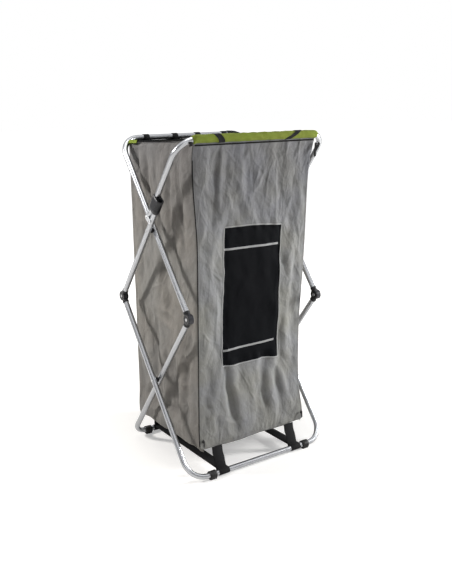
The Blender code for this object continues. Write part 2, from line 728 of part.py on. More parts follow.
def door_frame():
    """The border that stays when the door opens: a zip tape down each side and the header above."""
    def whole(across, up):
        z = CASE_BOTTOM + (DOOR_TOP - CASE_BOTTOM) * up
        return Vector((front_half_width(z) * (2 * across - 1), front_y(z), z))

    def header_edge(across):
        half = OUTER_PLANE - BEND_RADIUS - SLEEVE_RADIUS
        return Vector((half * (2 * across - 1), FRONT_RAIL_Y, header_top()))

    def opening(across, up):
        z = CASE_BOTTOM - FABRIC + (DOOR_TOP - CASE_BOTTOM + FABRIC) * up
        y = front_y(z) - FRONT_Y / 2
        return Vector((door_half_width(z) * (2 * across - 1), y, z))

    def frame(across, up):
        row = round(up * (WALL_ROWS + 1))
        return whole(across, row / WALL_ROWS) if row <= WALL_ROWS else header_edge(across)

    sheet = sheet_mesh(1, WALL_ROWS + 1, frame, FABRIC, FORWARD)
    cutter = sheet_mesh(1, WALL_ROWS, opening, FRONT_Y, FORWARD)
    mesh = cut(sheet, cutter)
    smooth(mesh, CLOTH_SHARP_ANGLE)
    link("door_frame", mesh, ZIP_BLACK)


def slider_x(z):
    return front_half_width(z) - ZIP_WIDTH / 2


def zip_sliders():
    face = front_y(CASE_BOTTOM) - FACE_GAP
    body = box_mesh((-SLIDER_WIDTH / 2, face - SLIDER_DEPTH, 0), (SLIDER_WIDTH / 2, face, SLIDER_HEIGHT))
    pull_top = SLIDER_HEIGHT / 2
    pull_y = face - SLIDER_DEPTH
    pull = box_mesh(
        (-PULL_WIDTH / 2, pull_y - PULL_DEPTH / 2, pull_top - PULL_HEIGHT),
        (PULL_WIDTH / 2, pull_y + PULL_DEPTH / 2, pull_top),
    )
    mesh = union(body, pull)
    for side, hand in SIDES:
        place = Matrix.Translation((side * slider_x(SLIDER_Z), 0, SLIDER_Z))
        link(f"{hand}_zip_slider", mesh.copy(), ZIP_BLACK, place)


def board_mesh(z, thickness):
    """A flat panel that fills the case at one height: a four-sided outline, given its thickness."""
    wall_start = front_y(z) + SEAM
    low_y = wall_start + BOARD_GAP
    high_y = REAR_Y - SEAM
    share = BOARD_GAP / (high_y - wall_start)
    front = min(front_half_width(z), front_half_width(z + thickness))
    front += (REAR_HALF_WIDTH - front) * share
    inset = FABRIC + BOARD_GAP
    curve = bpy.data.curves.new("outline", "CURVE")
    curve.dimensions = "2D"
    curve.fill_mode = "BOTH"
    curve.extrude = thickness / 2
    spline = curve.splines.new("POLY")
    half_front = front - inset
    half_rear = REAR_HALF_WIDTH - inset
    corners = ((-half_front, low_y), (half_front, low_y), (half_rear, high_y), (-half_rear, high_y))
    spline.points.add(len(corners) - 1)
    for point, corner in zip(spline.points, corners):
        point.co = (*corner, 0.0, 1.0)
    spline.use_cyclic_u = True
    bm = bmesh.new()
    bm.from_mesh(finished(guide(curve)))
    bmesh.ops.remove_doubles(bm, verts=bm.verts, dist=MERGE_DISTANCE)
    return mesh_from_bmesh(bm)


def boards():
    base = board_mesh(CASE_BOTTOM, BASE_THICKNESS)
    link("base_board", base, SHELF_CLOTH, Matrix.Translation((0, 0, CASE_BOTTOM + BASE_THICKNESS / 2)))
    for name, z in zip(SHELF_NAMES, SHELF_HEIGHTS):
        place = Matrix.Translation((0, 0, z + SHELF_THICKNESS / 2))
        link(name, board_mesh(z, SHELF_THICKNESS), SHELF_CLOTH, place)


def roof():
    """The case's black lining cloth over the top, sewn along the door frame and the rear wall."""
    low = CASE_TOP + FACE_GAP
    half = FRONT_HALF_WIDTH_TOP - FABRIC
    mesh = box_mesh(
        (-half, front_y(low) + SEAM, low), (half, REAR_Y - SEAM, low + ROOF_THICKNESS)
    )
    link("roof_panel", mesh, BLACK_WEBBING)


# Sleeve and webbing

def ring_mesh(width, inner, thickness):
    """A ring of cloth around a rail along X, clear of the rail at the flats of its bore."""
    bore = inner / ROUND_FLATS
    return cut(cross_rod(0, 0, 0, width / 2, bore + thickness), cross_rod(0, 0, 0, width, bore))


def front_sleeve():
    """The cloth sleeve around the front bow's rail, from the first step of one bend to the other's."""
    corner_x = OUTER_PLANE - BEND_RADIUS
    right = bend_points(corner_x, -BEND_RADIUS, math.pi / 2, 0.0)[:2]
    path = [*reversed(right), *mirrored(right, -1)]
    mesh = hollow_tube(path, SLEEVE_RADIUS, SLEEVE_RADIUS * TUBE_FLATS - TUBE_RADIUS - FACE_GAP)
    smooth(mesh)
    link("front_sleeve", mesh, GREEN_FABRIC, STRUT_FRAME @ Matrix.Translation((0, BOW_OFFSET, ARM_REACH)))


def rear_loops():
    inner = TUBE_RADIUS + FACE_GAP
    for number, x in enumerate(LOOP_X, 1):
        mesh = ring_mesh(LOOP_WIDTH, inner, WEBBING)
        smooth(mesh)
        link(f"rear_loop_{number}", mesh, BLACK_WEBBING, REAR_BOW_FRAME @ Matrix.Translation((x, 0, ARM_REACH)))


def floor_straps():
    """A strap on each side around both floor rails, with hold-downs up to the case's bottom edge."""
    inner = TUBE_RADIUS + FACE_GAP
    outer = inner + WEBBING
    half = STRAP_WIDTH / 2
    seat = FLOOR_AXIS_Z + (inner + outer) / 2
    mesh = box_mesh((-half, -FLOOR_RAIL_Y, FLOOR_AXIS_Z + inner), (half, FLOOR_RAIL_Y, FLOOR_AXIS_Z + outer))
    for rail_y, case_y in ((-FLOOR_RAIL_Y, front_y(CASE_BOTTOM) + FABRIC), (FLOOR_RAIL_Y, REAR_Y - FABRIC)):
        ring = ring_mesh(STRAP_WIDTH, inner, WEBBING)
        ring.transform(Matrix.Translation((0, rail_y, FLOOR_AXIS_Z)))

        def place(across, up, rail_y=rail_y, case_y=case_y):
            y = rail_y + (case_y - rail_y) * up
            z = seat + (CASE_BOTTOM - FACE_GAP - seat) * up
            return Vector((STRAP_WIDTH * (across - 0.5), y, z))
        mesh = union(mesh, ring, sheet_mesh(1, 1, place, WEBBING / 2, FORWARD))
    smooth(mesh)
    for side, hand in SIDES:
        link(f"{hand}_floor_strap", mesh.copy(), BLACK_WEBBING, Matrix.Translation((side * STRAP_X, 0, 0)))


struts()
front_bow()
rear_bow()
legs_and_rails()
knuckles()
elbow_pins()
crossings()
lock_plates()
lock_pins()
collars()
feet()
side_walls()
rear_wall()
door()
mesh_window()
door_frame()
zip_sliders()
boards()
roof()
front_sleeve()
rear_loops()
floor_straps()
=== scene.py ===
# %% [markdown]
# # A folding camping cupboard
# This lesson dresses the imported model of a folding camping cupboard: a scissor frame of round
# tubes that carries a fabric case with a zipped door. The CAD solids are the fixed frame. Every
# piece here is built in metres in that same frame, so it goes exactly where its solid is, and it
# rides on the same moving body.

# %% Load the fixed frame
import math

import bmesh
import bpy
import numpy as np
from mathutils import Matrix, Vector


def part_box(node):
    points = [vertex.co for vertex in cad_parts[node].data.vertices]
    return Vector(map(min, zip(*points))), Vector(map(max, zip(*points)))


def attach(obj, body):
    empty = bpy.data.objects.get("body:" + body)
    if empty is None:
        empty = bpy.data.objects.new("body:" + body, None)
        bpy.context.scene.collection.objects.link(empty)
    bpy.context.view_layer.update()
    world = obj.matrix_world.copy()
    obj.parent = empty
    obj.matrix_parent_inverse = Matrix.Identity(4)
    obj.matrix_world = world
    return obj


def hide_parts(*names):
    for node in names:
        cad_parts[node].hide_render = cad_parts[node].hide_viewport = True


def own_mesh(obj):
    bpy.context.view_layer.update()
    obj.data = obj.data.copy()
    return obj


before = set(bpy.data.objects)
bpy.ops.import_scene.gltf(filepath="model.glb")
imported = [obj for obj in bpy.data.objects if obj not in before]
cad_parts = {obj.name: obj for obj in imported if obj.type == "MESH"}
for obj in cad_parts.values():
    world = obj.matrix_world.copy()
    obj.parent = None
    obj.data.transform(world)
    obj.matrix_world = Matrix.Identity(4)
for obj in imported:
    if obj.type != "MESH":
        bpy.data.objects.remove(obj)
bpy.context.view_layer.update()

# %% [markdown]
# ## Where the bars run
# The two sides are planes of crossed bars. Each bar leans by the same angle from the vertical, so
# one small set of sizes places every tube, knuckle and rivet. A bar's own frame has Z along the bar
# and X across the cupboard. These numbers repeat the CAD source's, and the print below shows the
# rail axes that they give. These numbers repeat the CAD source's, because the script may not read
# that file.

# %% Sizes of the scissor frame
TUBE_RADIUS = 0.0095
TUBE_WALL = 0.0013
BEND_RADIUS = 0.070
OUTER_PLANE = 0.290
INNER_PLANE = 0.266
LEAN = math.radians(37.8)
ELBOW_REACH = 0.3305
ELBOW_OFFSET = 0.002
ARM_REACH = 0.366
SOCKET_REACH = 0.027
TUBE_START = SOCKET_REACH + 0.0003
LOCK_REACH = 0.043
STRUT_TOP_REACH = 0.080
BOW_OFFSET = 0.0198
RAIL_JOINT_X = 0.180
FLOOR_AXIS_Z = 0.0145
LOWER_CROSSING_Z = FLOOR_AXIS_Z + ARM_REACH * math.cos(LEAN)
CROSSING_SPACING = 2 * (ELBOW_REACH * math.cos(LEAN) + ELBOW_OFFSET * math.sin(LEAN))
UPPER_CROSSING_Z = LOWER_CROSSING_Z + CROSSING_SPACING
FLOOR_RAIL_Y = ARM_REACH * math.sin(LEAN)
SIDES = ((-1, "left"), (1, "right"))


def bar_frame(height, tilt):
    """The frame of a bar through a crossing at this height."""
    return Matrix.Translation((0, 0, height)) @ Matrix.Rotation(tilt, 4, "X")


STRUT = bar_frame(UPPER_CROSSING_Z, LEAN)
REAR_BOW = bar_frame(UPPER_CROSSING_Z, -LEAN)
FRONT_LEG = bar_frame(LOWER_CROSSING_Z, -LEAN)
REAR_LEG = bar_frame(LOWER_CROSSING_Z, LEAN)
FRONT_BOW = STRUT @ Matrix.Translation((0, BOW_OFFSET, LOCK_REACH))
FRONT_RAIL = FRONT_BOW @ Vector((0, 0, ARM_REACH - LOCK_REACH))
REAR_RAIL = REAR_BOW @ Vector((0, 0, ARM_REACH))
print("front and rear rail axes:", [round(x, 4) for x in (*FRONT_RAIL, *REAR_RAIL)])

# %% [markdown]
# ## The camera
# The photograph looks down a little on the cupboard's front left corner. Its lens and place were
# found by fitting the known corners, rivets and feet to where they stand in the picture.

# %% Camera
PICTURE_HEIGHT = 584
FOCAL_PIXELS = 757.4
SENSOR = 36.0
CAMERA_PLACE = Vector((-1.4739, -2.1788, 1.2446))
HEADING = math.radians(34.37)
PITCH = math.radians(14.29)
ROLL = math.radians(-0.72)


def new_object(name, data):
    """A new object, linked into the scene."""
    thing = bpy.data.objects.new(name, data)
    bpy.context.scene.collection.objects.link(thing)
    return thing


level = math.cos(PITCH)
forward = Vector((math.sin(HEADING) * level, math.cos(HEADING) * level, -math.sin(PITCH)))
level_right = Vector((math.cos(HEADING), -math.sin(HEADING), 0))
level_up = level_right.cross(forward)
right = math.cos(ROLL) * level_right + math.sin(ROLL) * level_up
upward = right.cross(forward)
lens = bpy.data.cameras.new("camera")
lens.sensor_width = SENSOR
lens.lens = FOCAL_PIXELS / PICTURE_HEIGHT * SENSOR
camera = new_object("camera", lens)
camera.matrix_world = Matrix((right, upward, -forward)).transposed().to_4x4()
camera.matrix_world.translation = CAMERA_PLACE
bpy.context.scene.camera = camera
print("lens:", round(lens.lens, 2), "mm")

# %% [markdown]
# ## Building materials and meshes from nodes
# A node tree is easiest to read in a script when one small helper adds a node, gives it its
# settings, and either fills or links each input. The same helper serves shader trees and
# Geometry Nodes trees.

# %% One helper for every node tree
def add_node(tree, kind, inputs=None, **settings):
    """Add a node. The value of an input is a plain value, or an output to link to it."""
    node = tree.nodes.new(kind)
    for name, value in settings.items():
        setattr(node, name, value)
    for key, value in (inputs or {}).items():
        if isinstance(value, bpy.types.NodeSocket):
            tree.links.new(value, node.inputs[key])
        else:
            node.inputs[key].default_value = value
    return node


def add_math(tree, operation, first, second=0.0):
    """One Math node, and its result."""
    return add_node(tree, "ShaderNodeMath", {0: first, 1: second}, operation=operation).outputs[0]


def add_mix(tree, factor, first, second, **settings):
    """Two colours mixed."""
    colours = {"Factor": factor, 6: first, 7: second}
    return add_node(tree, "ShaderNodeMix", colours, data_type="RGBA", **settings).outputs[2]


def add_noise(tree, place, scale, detail, kind="FBM", **inputs):
    """Noise from 0 to 1 at each place."""
    values = {"Vector": place, "Scale": scale, "Detail": detail, **inputs}
    return add_node(tree, "ShaderNodeTexNoise", values, noise_type=kind).outputs["Fac"]


def add_range(tree, value, start, stop, low=0.0, high=1.0, **settings):
    """A value taken from one range to another, and held within it."""
    values = {"Value": value, "From Min": start, "From Max": stop, "To Min": low, "To Max": high}
    return add_node(tree, "ShaderNodeMapRange", values, **settings).outputs["Result"]


def object_place(tree):
    """The place on its object, in metres."""
    return add_node(tree, "ShaderNodeTexCoord").outputs["Object"]


def give(tree, node, values):
    """Link values to a node's inputs."""
    for name, value in values.items():
        tree.links.new(value, node.inputs[name])


def new_group(name, kind, inputs, outputs):
    """An empty node group with named sockets, and its two end nodes."""
    tree = bpy.data.node_groups.new(name, kind)
    for in_out, sockets in (("INPUT", inputs), ("OUTPUT", outputs)):
        for label, socket, *default in sockets:
            made = tree.interface.new_socket(label, in_out=in_out, socket_type="NodeSocket" + socket)
            if default:
                made.default_value = default[0]
    return tree, tree.nodes.new("NodeGroupInput").outputs, tree.nodes.new("NodeGroupOutput")


print("node kinds ready")

# %% [markdown]
# ## The room
# The photograph was taken on a white sweep, with soft light from both sides. The floor and the
# world are drawn white for the camera and for reflections, with Light Path, so that the lamps can
# stay at a plain level. The floor still takes the cupboard's soft shadow: its own diffuse light
# dims under the frame, and the white that Light Path adds is weaker near the cupboard than far from it.

# %% Floor, world and lamps
FLOOR_SIZE = 60.0
FLOOR_WHITE = 0.80
FLOOR_LIFT = 0.34
SHADOW_REACH = 1.4
WORLD_LEVEL = 0.13
MIRRORED_FLOOR = 0.48

floor_mesh = bpy.data.meshes.new("floor")
corners = [(x * FLOOR_SIZE / 2, y * FLOOR_SIZE / 2, 0) for x, y in ((-1, -1), (1, -1), (1, 1), (-1, 1))]
floor_mesh.from_pydata(corners, [], [(0, 1, 2, 3)])
new_object("floor", floor_mesh)


def emptied(data):
    """The node tree of a material or world, with nothing in it yet."""
    data.use_nodes = True
    data.node_tree.nodes.clear()
    return data.node_tree


floor_paint = bpy.data.materials.new("floor_paint")
tree = emptied(floor_paint)
away = add_node(tree, "ShaderNodeVectorMath", {0: object_place(tree)}, operation="LENGTH")
lift = add_range(tree, away.outputs["Value"], SHADOW_REACH / 2, 2 * SHADOW_REACH, FLOOR_LIFT, 1.0,
                 interpolation_type="SMOOTHSTEP")
path = add_node(tree, "ShaderNodeLightPath").outputs
mirrored_floor = add_math(tree, "MULTIPLY", path["Is Glossy Ray"], MIRRORED_FLOOR)
seen = add_math(tree, "MAXIMUM", path["Is Camera Ray"], mirrored_floor)
strength = add_math(tree, "MULTIPLY", seen, lift)
warm_white = (FLOOR_WHITE, 0.985 * FLOOR_WHITE, 0.96 * FLOOR_WHITE, 1)
diffuse = add_node(tree, "ShaderNodeBsdfDiffuse", {"Color": warm_white})
glow = add_node(tree, "ShaderNodeEmission", {"Color": (1, 1, 1, 1), "Strength": strength})
mixed = add_node(tree, "ShaderNodeAddShader", {0: diffuse.outputs[0], 1: glow.outputs[0]})
add_node(tree, "ShaderNodeOutputMaterial", {"Surface": mixed.outputs[0]})
floor_mesh.materials.append(floor_paint)

world = bpy.data.worlds.new("studio")
tree = emptied(world)
direction = add_node(tree, "ShaderNodeTexCoord").outputs["Generated"]
height = add_node(tree, "ShaderNodeSeparateXYZ", {"Vector": direction}).outputs["Z"]
band = add_node(tree, "ShaderNodeValToRGB", {"Fac": height})
stops = band.color_ramp.elements
stops[0].position, stops[0].color = 0.0, (0.42, 0.42, 0.43, 1)
stops[1].position, stops[1].color = 0.75, (1.0, 1.0, 1.0, 1)
middle = stops.new(0.30)
middle.color = (0.16, 0.16, 0.17, 1)
path = add_node(tree, "ShaderNodeLightPath").outputs
around, mirrored_room, backdrop = (
    add_node(tree, "ShaderNodeBackground", {"Color": colour, "Strength": level}).outputs[0]
    for colour, level in (((1, 1, 1, 1), WORLD_LEVEL), (band.outputs["Color"], 1.0), ((1, 1, 1, 1), 1.0)))
whole = around
for ray, seen_by in (("Is Glossy Ray", mirrored_room), ("Is Camera Ray", backdrop)):
    whole = add_node(tree, "ShaderNodeMixShader", {0: path[ray], 1: whole, 2: seen_by}).outputs[0]
add_node(tree, "ShaderNodeOutputWorld", {"Surface": whole})
bpy.context.scene.world = world
bpy.context.scene.view_settings.view_transform = "Standard"


def softbox(name, place, target, size, power, colour=(1, 1, 1)):
    """A square area lamp that looks at a target."""
    data = bpy.data.lights.new(name, "AREA")
    data.shape = "RECTANGLE"
    data.size, data.size_y = size
    data.energy = power
    data.color = colour
    lamp = new_object(name, data)
    lamp.location = place
    lamp.rotation_mode = "QUATERNION"
    lamp.rotation_quaternion = (Vector(target) - Vector(place)).to_track_quat("-Z", "Y")


softbox("front_softbox", (2.7, -1.35, 1.2), (0, 0, 0.5), (0.5, 1.1), 128)
softbox("left_softbox", (-2.6, 1.5, 2.3), (0, 0, 0.6), (0.3, 0.6), 104, (1.0, 0.98, 0.96))
softbox("fill_softbox", (-1.6, -3.0, 1.6), (0, 0, 0.6), (1.6, 1.6), 12)
softbox("top_softbox", (-0.3, -0.3, 3.2), (0, 0, 0.6), (1.4, 1.4), 24)
print("room ready")

# %% [markdown]
# ## Effects that several finishes share
# Weave, mottling with painted crease shade, moulded grain and rubbed edges turn up on more than one
# material. Each one is a small node group with named sockets that gives out only colours, masks or
# heights. It is placed in each material with its own values, and the shader itself stays in the material.

# %% Shader groups: weave, mottling with painted crease shade, and packing creases
def shader_group(name, inputs, outputs):
    """An empty group for shader trees."""
    return new_group(name, "ShaderNodeTree", inputs, outputs)


def centred(tree, value, amount):
    """A value from 0 to 1, moved to lie about zero and scaled."""
    return add_math(tree, "MULTIPLY", add_math(tree, "SUBTRACT", value, 0.5), amount)


def build_weave():
    """Threads of a plain weave, from the cloth's own UV map, which is in metres."""
    tree, given, out = shader_group(
        "woven_threads", [("UV", "Vector"), ("Thread", "Float", 0.0006), ("Slub", "Float", 0.3)],
        [("Height", "Float"), ("Shade", "Float")])
    turns = add_math(tree, "DIVIDE", math.pi, given["Thread"])
    parts = add_node(tree, "ShaderNodeSeparateXYZ", {"Vector": given["UV"]}).outputs
    waves = [add_math(tree, "SINE", add_math(tree, "MULTIPLY", parts[axis], turns)) for axis in "XY"]
    rough = centred(tree, add_noise(tree, given["UV"], 900.0, 2.0), given["Slub"])
    raised = add_math(tree, "MULTIPLY_ADD", add_math(tree, "MULTIPLY", *waves), 0.5)
    height = add_math(tree, "ADD", raised, rough)
    give(tree, out, {"Height": add_math(tree, "ADD", height, 0.5),
                     "Shade": add_math(tree, "ADD", rough, 0.5)})
    return tree


def build_mottle_and_shade():
    """Uneven dye and handling in soft patches and small creased ones, and painted shade from a crease mask.
    """
    tree, given, out = shader_group(
        "cloth_mottle_and_crease_shade",
        [("Colour", "Color"), ("Warm Tint", "Color"), ("Patches", "Float", 0.15), ("Creases", "Float", 0.2),
         ("Crease Mask", "Float", 0.5)],
        [("Colour", "Color"), ("Height", "Float")])
    place = object_place(tree)
    broad = add_noise(tree, place, 7.0, 3.0, Roughness=0.55)
    fine = add_noise(tree, place, 60.0, 5.0, Roughness=0.65)
    hanging = add_node(tree, "ShaderNodeMapping", {"Vector": place, "Scale": (1.0, 1.0, 0.55)}).outputs[0]
    wrinkles = add_noise(tree, hanging, 26.0, 4.0, "RIDGED_MULTIFRACTAL", Roughness=0.55, Distortion=0.6)
    blended = add_mix(tree, add_range(tree, broad, 0.35, 0.65), given["Colour"], given["Warm Tint"])
    # Painted shade and light: the crease mask darkens the valleys and lightens the ridges.
    uneven = add_math(tree, "ADD", centred(tree, fine, given["Patches"]),
                      centred(tree, given["Crease Mask"], given["Creases"]))
    level = add_math(tree, "ADD", uneven, 1.0)
    shaded = add_node(tree, "ShaderNodeVectorMath", {0: blended, "Scale": level},
                      operation="SCALE").outputs[0]
    give(tree, out, {"Colour": shaded,
                     "Height": add_math(tree, "ADD", wrinkles, add_math(tree, "MULTIPLY", fine, 0.5))})
    return tree


def build_packing():
    """Fine straight creases from packing: the edges between the cells of two stretched patterns."""
    tree, given, out = shader_group(
        "packing_creases", [("UV", "Vector"), ("Cell Size", "Float", 0.058)], [("Height", "Float")])
    scale = add_math(tree, "DIVIDE", 1.0, given["Cell Size"])
    total = 0.0
    for angle, stretch, noise_scale in ((0.14, 0.30, 7.0), (-0.55, 0.45, 11.0)):
        turned = add_node(tree, "ShaderNodeVectorRotate", {"Vector": given["UV"], "Angle": angle},
                          rotation_type="Z_AXIS").outputs[0]
        squeezed = add_node(tree, "ShaderNodeVectorMath", {0: turned, 1: (1.0, stretch, 1.0)},
                            operation="MULTIPLY").outputs[0]
        edge = add_node(tree, "ShaderNodeTexVoronoi", {"Vector": squeezed, "Scale": scale},
                        feature="DISTANCE_TO_EDGE", voronoi_dimensions="2D").outputs["Distance"]
        ridge = add_range(tree, edge, 0.0, 0.11, 1.0, 0.0)
        shown = add_range(tree, add_noise(tree, turned, noise_scale, 1.0), 0.46, 0.66)
        signed = add_math(tree, "SUBTRACT", add_noise(tree, squeezed, 42.0, 2.0), 0.5)
        fine = add_math(tree, "ABSOLUTE", signed)
        total = add_math(tree, "ADD", add_math(tree, "MULTIPLY", ridge, shown), total)
        total = add_math(tree, "SUBTRACT", total, add_math(tree, "MULTIPLY", fine, 2.4))
    give(tree, out, {"Height": total})
    return tree


# %% Shader groups: moulded grain, drawn metal and rubbed edges
def build_grain():
    """The fine pebbled skin of a moulded piece, with faint larger flow marks."""
    tree, given, out = shader_group(
        "moulded_grain", [("Grain Size", "Float", 0.0006), ("Flow", "Float", 0.4)],
        [("Height", "Float"), ("Mask", "Float")])
    place = object_place(tree)
    pebbles = add_noise(tree, place, add_math(tree, "DIVIDE", 1.0, given["Grain Size"]), 2.0)
    flow = add_noise(tree, place, 90.0, 3.0)
    mixed = add_node(tree, "ShaderNodeMix", {"Factor": given["Flow"], 2: pebbles, 3: flow}).outputs[0]
    give(tree, out, {"Height": pebbles, "Mask": mixed})
    return tree


def build_streaks():
    """Die lines of a drawn tube. They run along it, so they read the tube's own stored grain."""
    tree, given, out = shader_group(
        "drawn_streaks", [("Along", "Vector"), ("Stretch", "Float", 0.02)],
        [("Streaks", "Float"), ("Handling", "Float")])
    squeeze = add_node(tree, "ShaderNodeCombineXYZ", {"X": 1.0, "Y": 1.0, "Z": given["Stretch"]}).outputs[0]
    drawn = add_node(tree, "ShaderNodeVectorMath", {0: given["Along"], 1: squeeze}, operation="MULTIPLY")
    give(tree, out, {"Streaks": add_noise(tree, drawn.outputs[0], 1400.0, 3.0),
                     "Handling": add_noise(tree, given["Along"], 40.0, 4.0, Roughness=0.6)})
    return tree


def build_rub():
    """Edges rubbed lighter by handling, broken up so that the wear isn't even."""
    tree, given, out = shader_group(
        "rubbed_edges", [("Colour", "Color"), ("Rubbed", "Color"), ("Amount", "Float", 0.5)],
        [("Colour", "Color"), ("Mask", "Float")])
    edge = add_range(tree, add_node(tree, "ShaderNodeNewGeometry").outputs["Pointiness"], 0.52, 0.62)
    broken = add_noise(tree, object_place(tree), 260.0, 3.0)
    worn = add_math(tree, "MULTIPLY", add_math(tree, "MULTIPLY", edge, broken), given["Amount"])
    give(tree, out, {"Colour": add_mix(tree, worn, given["Colour"], given["Rubbed"]), "Mask": worn})
    return tree


WEAVE, MOTTLE_AND_SHADE, PACKING, GRAIN, STREAKS, RUB = (
    build() for build in (build_weave, build_mottle_and_shade, build_packing, build_grain, build_streaks, build_rub))
print("shader groups:", [group.name for group in (WEAVE, MOTTLE_AND_SHADE, PACKING, GRAIN, STREAKS, RUB)])

# %% [markdown]
# ## The finishes
# Tubes are drawn aluminium, clear anodised, so they have a soft sheen and faint die lines. The
# knuckles, collars and feet are black mouldings. The case is a grey woven polyester, creased from
# being folded away; its side walls lean to brown and its front to a cooler grey. The sleeve is a
# yellow green cloth, and the straps are black webbing with ribs across.

# %% Finishes: helpers
def new_material(name, metallic=0.0, specular=0.5, sheen=0.0):
    """A material with its Principled shader. What is the same all over is set on the shader."""
    material = bpy.data.materials.new(name)
    material.use_nodes = True
    shader = material.node_tree.nodes["Principled BSDF"]
    for socket, value in (("Metallic", metallic), ("Specular IOR Level", specular), ("Sheen Weight", sheen)):
        shader.inputs[socket].default_value = value
    return material, material.node_tree, shader


def use_group(tree, group, inputs):
    """A group placed in a tree with its own values, and its outputs."""
    return add_node(tree, "ShaderNodeGroup", inputs, node_tree=group).outputs


def opaque(colour, share=1.0):
    """A share of a colour, with no see-through."""
    return (*(min(1.0, share * c) for c in colour), 1.0)


def dress(tree, shader, colour, mask, low, high, height, distance, strength):
    """Colour, uneven roughness and a bump, which every finish has."""
    bump = add_node(tree, "ShaderNodeBump", {"Height": height, "Distance": distance, "Strength": strength})
    give(tree, shader, {"Base Color": colour, "Roughness": add_range(tree, mask, 0.3, 0.7, low, high),
                        "Normal": bump.outputs["Normal"]})


# %% Finishes: metals and plastics
def metal(name, colour, rough, drawn=False):
    """Bare metal. A drawn tube has die lines along it, and other pieces have an even satin."""
    material, tree, shader = new_material(name, metallic=1.0)
    along = add_node(tree, "ShaderNodeAttribute", attribute_name="grain").outputs["Vector"] if drawn \
        else object_place(tree)
    marks = use_group(tree, STREAKS, {"Along": along, "Stretch": 0.02 if drawn else 1.0})
    rubbed = use_group(tree, RUB, {"Colour": opaque(colour), "Rubbed": opaque(colour, 1.12), "Amount": 0.8})
    dull = add_range(tree, marks["Handling"], 0.3, 0.7, 0.0, 0.16)
    dulled = add_mix(tree, dull, rubbed["Colour"], opaque(colour, 0.72))
    dress(tree, shader, dulled, marks["Streaks"], rough - 0.06, rough + 0.08, marks["Streaks"], 0.00002, 0.5)
    return material


def moulding(name, colour, rubbed_colour, rough, grain=0.0006, depth=0.00006):
    """A black moulded piece with a pebbled skin and edges rubbed grey."""
    material, tree, shader = new_material(name, specular=0.36)
    skin = use_group(tree, GRAIN, {"Grain Size": grain})
    rubbed = use_group(tree, RUB, {"Colour": opaque(colour), "Rubbed": opaque(rubbed_colour), "Amount": 0.9})
    dress(tree, shader, rubbed["Colour"], skin["Mask"], rough - 0.08, rough + 0.10, skin["Height"],
          depth, 0.6)
    return material


TUBE_FINISH = metal("anodised_tube_finish", (0.48, 0.49, 0.51), 0.26, drawn=True)
RIVET_FINISH = metal("rivet_steel_finish", (0.55, 0.55, 0.56), 0.30)
PLATE_FINISH = metal("plate_steel_finish", (0.88, 0.89, 0.90), 0.34)
KNUCKLE_FINISH = moulding("knuckle_plastic_finish", (0.007, 0.007, 0.008), (0.06, 0.06, 0.07), 0.30)
COLLAR_FINISH = moulding("collar_plastic_finish", (0.016, 0.016, 0.018), (0.10, 0.10, 0.11), 0.30)
FOOT_FINISH = moulding("foot_rubber_finish", (0.006, 0.006, 0.006), (0.03, 0.03, 0.03), 0.55, 0.0009, 0.0001)
ZIP_METAL = moulding("zip_coil_finish", (0.008, 0.008, 0.009), (0.030, 0.030, 0.030), 0.45)
print("hard finishes ready")

# %% Finishes: cloths
CLOTH_BUMP = 0.00022
TALL = 1.2


def painted_height_shade(tree, colour, painted_shade):
    """Painted shade: a colour that changes with height, darkening the cloth near its top and its hem."""
    height = add_node(tree, "ShaderNodeSeparateXYZ", {"Vector": object_place(tree)}).outputs["Z"]
    ramp = add_node(tree, "ShaderNodeValToRGB", {"Fac": add_math(tree, "DIVIDE", height, TALL)})
    while len(ramp.color_ramp.elements) < len(painted_shade):
        ramp.color_ramp.elements.new(0.5)
    for stop, (z, share, blue) in zip(ramp.color_ramp.elements, painted_shade):
        stop.position, stop.color = z / TALL, (share, share, share * blue, 1)
    return add_mix(tree, 1.0, colour, ramp.outputs["Color"], blend_type="MULTIPLY")


def cloth(name, colour, warm, thread=0.0006, rough=0.86, patches=0.16, creases=0.16, sheen=0.05,
          wrinkles=2.6, specular=0.16, packed=0.0, painted_shade=()):
    """Woven cloth. It reads its weave from the UV map, and paints crease shade from a stored mask.

    packed is the height of the fine packing creases. The last argument lists heights, the share of
    the colour kept there and how much bluer it is: painted shade, darker near the top and the hem.
    """
    material, tree, shader = new_material(name, specular=specular, sheen=sheen)
    uv = add_node(tree, "ShaderNodeUVMap", uv_map="UVMap").outputs["UV"]
    # Painted crease shade: the stored mask darkens valleys and lightens ridges.
    mask = add_node(tree, "ShaderNodeAttribute", attribute_name="crease").outputs["Fac"]
    threads = use_group(tree, WEAVE, {"UV": uv, "Thread": thread})
    dyed_and_shaded = use_group(tree, MOTTLE_AND_SHADE, {
        "Colour": opaque(colour), "Warm Tint": opaque(warm), "Patches": patches, "Creases": creases,
        "Crease Mask": mask})
    height = add_math(tree, "ADD", add_math(tree, "MULTIPLY", dyed_and_shaded["Height"], wrinkles), threads["Height"])
    if packed:
        lines = use_group(tree, PACKING, {"UV": uv})
        packing = add_math(tree, "MULTIPLY", lines["Height"], packed / CLOTH_BUMP)
        height = add_math(tree, "ADD", packing, height)
    # Painted shade: the colour darkens by height, near the top and toward the hem.
    base = painted_height_shade(tree, dyed_and_shaded["Colour"], painted_shade) if painted_shade else dyed_and_shaded["Colour"]
    dress(tree, shader, base, threads["Shade"], rough - 0.05, rough + 0.05, height, CLOTH_BUMP, 0.9)
    return material


def webbing(name, colour, edge):
    """Black webbing: ribs across its width, and a tone that is a little lighter on some threads."""
    material, tree, shader = new_material(name, specular=0.14, sheen=0.02)
    uv = add_node(tree, "ShaderNodeUVMap", uv_map="UVMap").outputs["UV"]
    threads = use_group(tree, WEAVE, {"UV": uv, "Thread": 0.0014, "Slub": 0.5})
    tone = add_mix(tree, threads["Shade"], opaque(colour), opaque(edge))
    dress(tree, shader, tone, threads["Shade"], 0.70, 0.86, threads["Height"], 0.0003, 0.8)
    return material
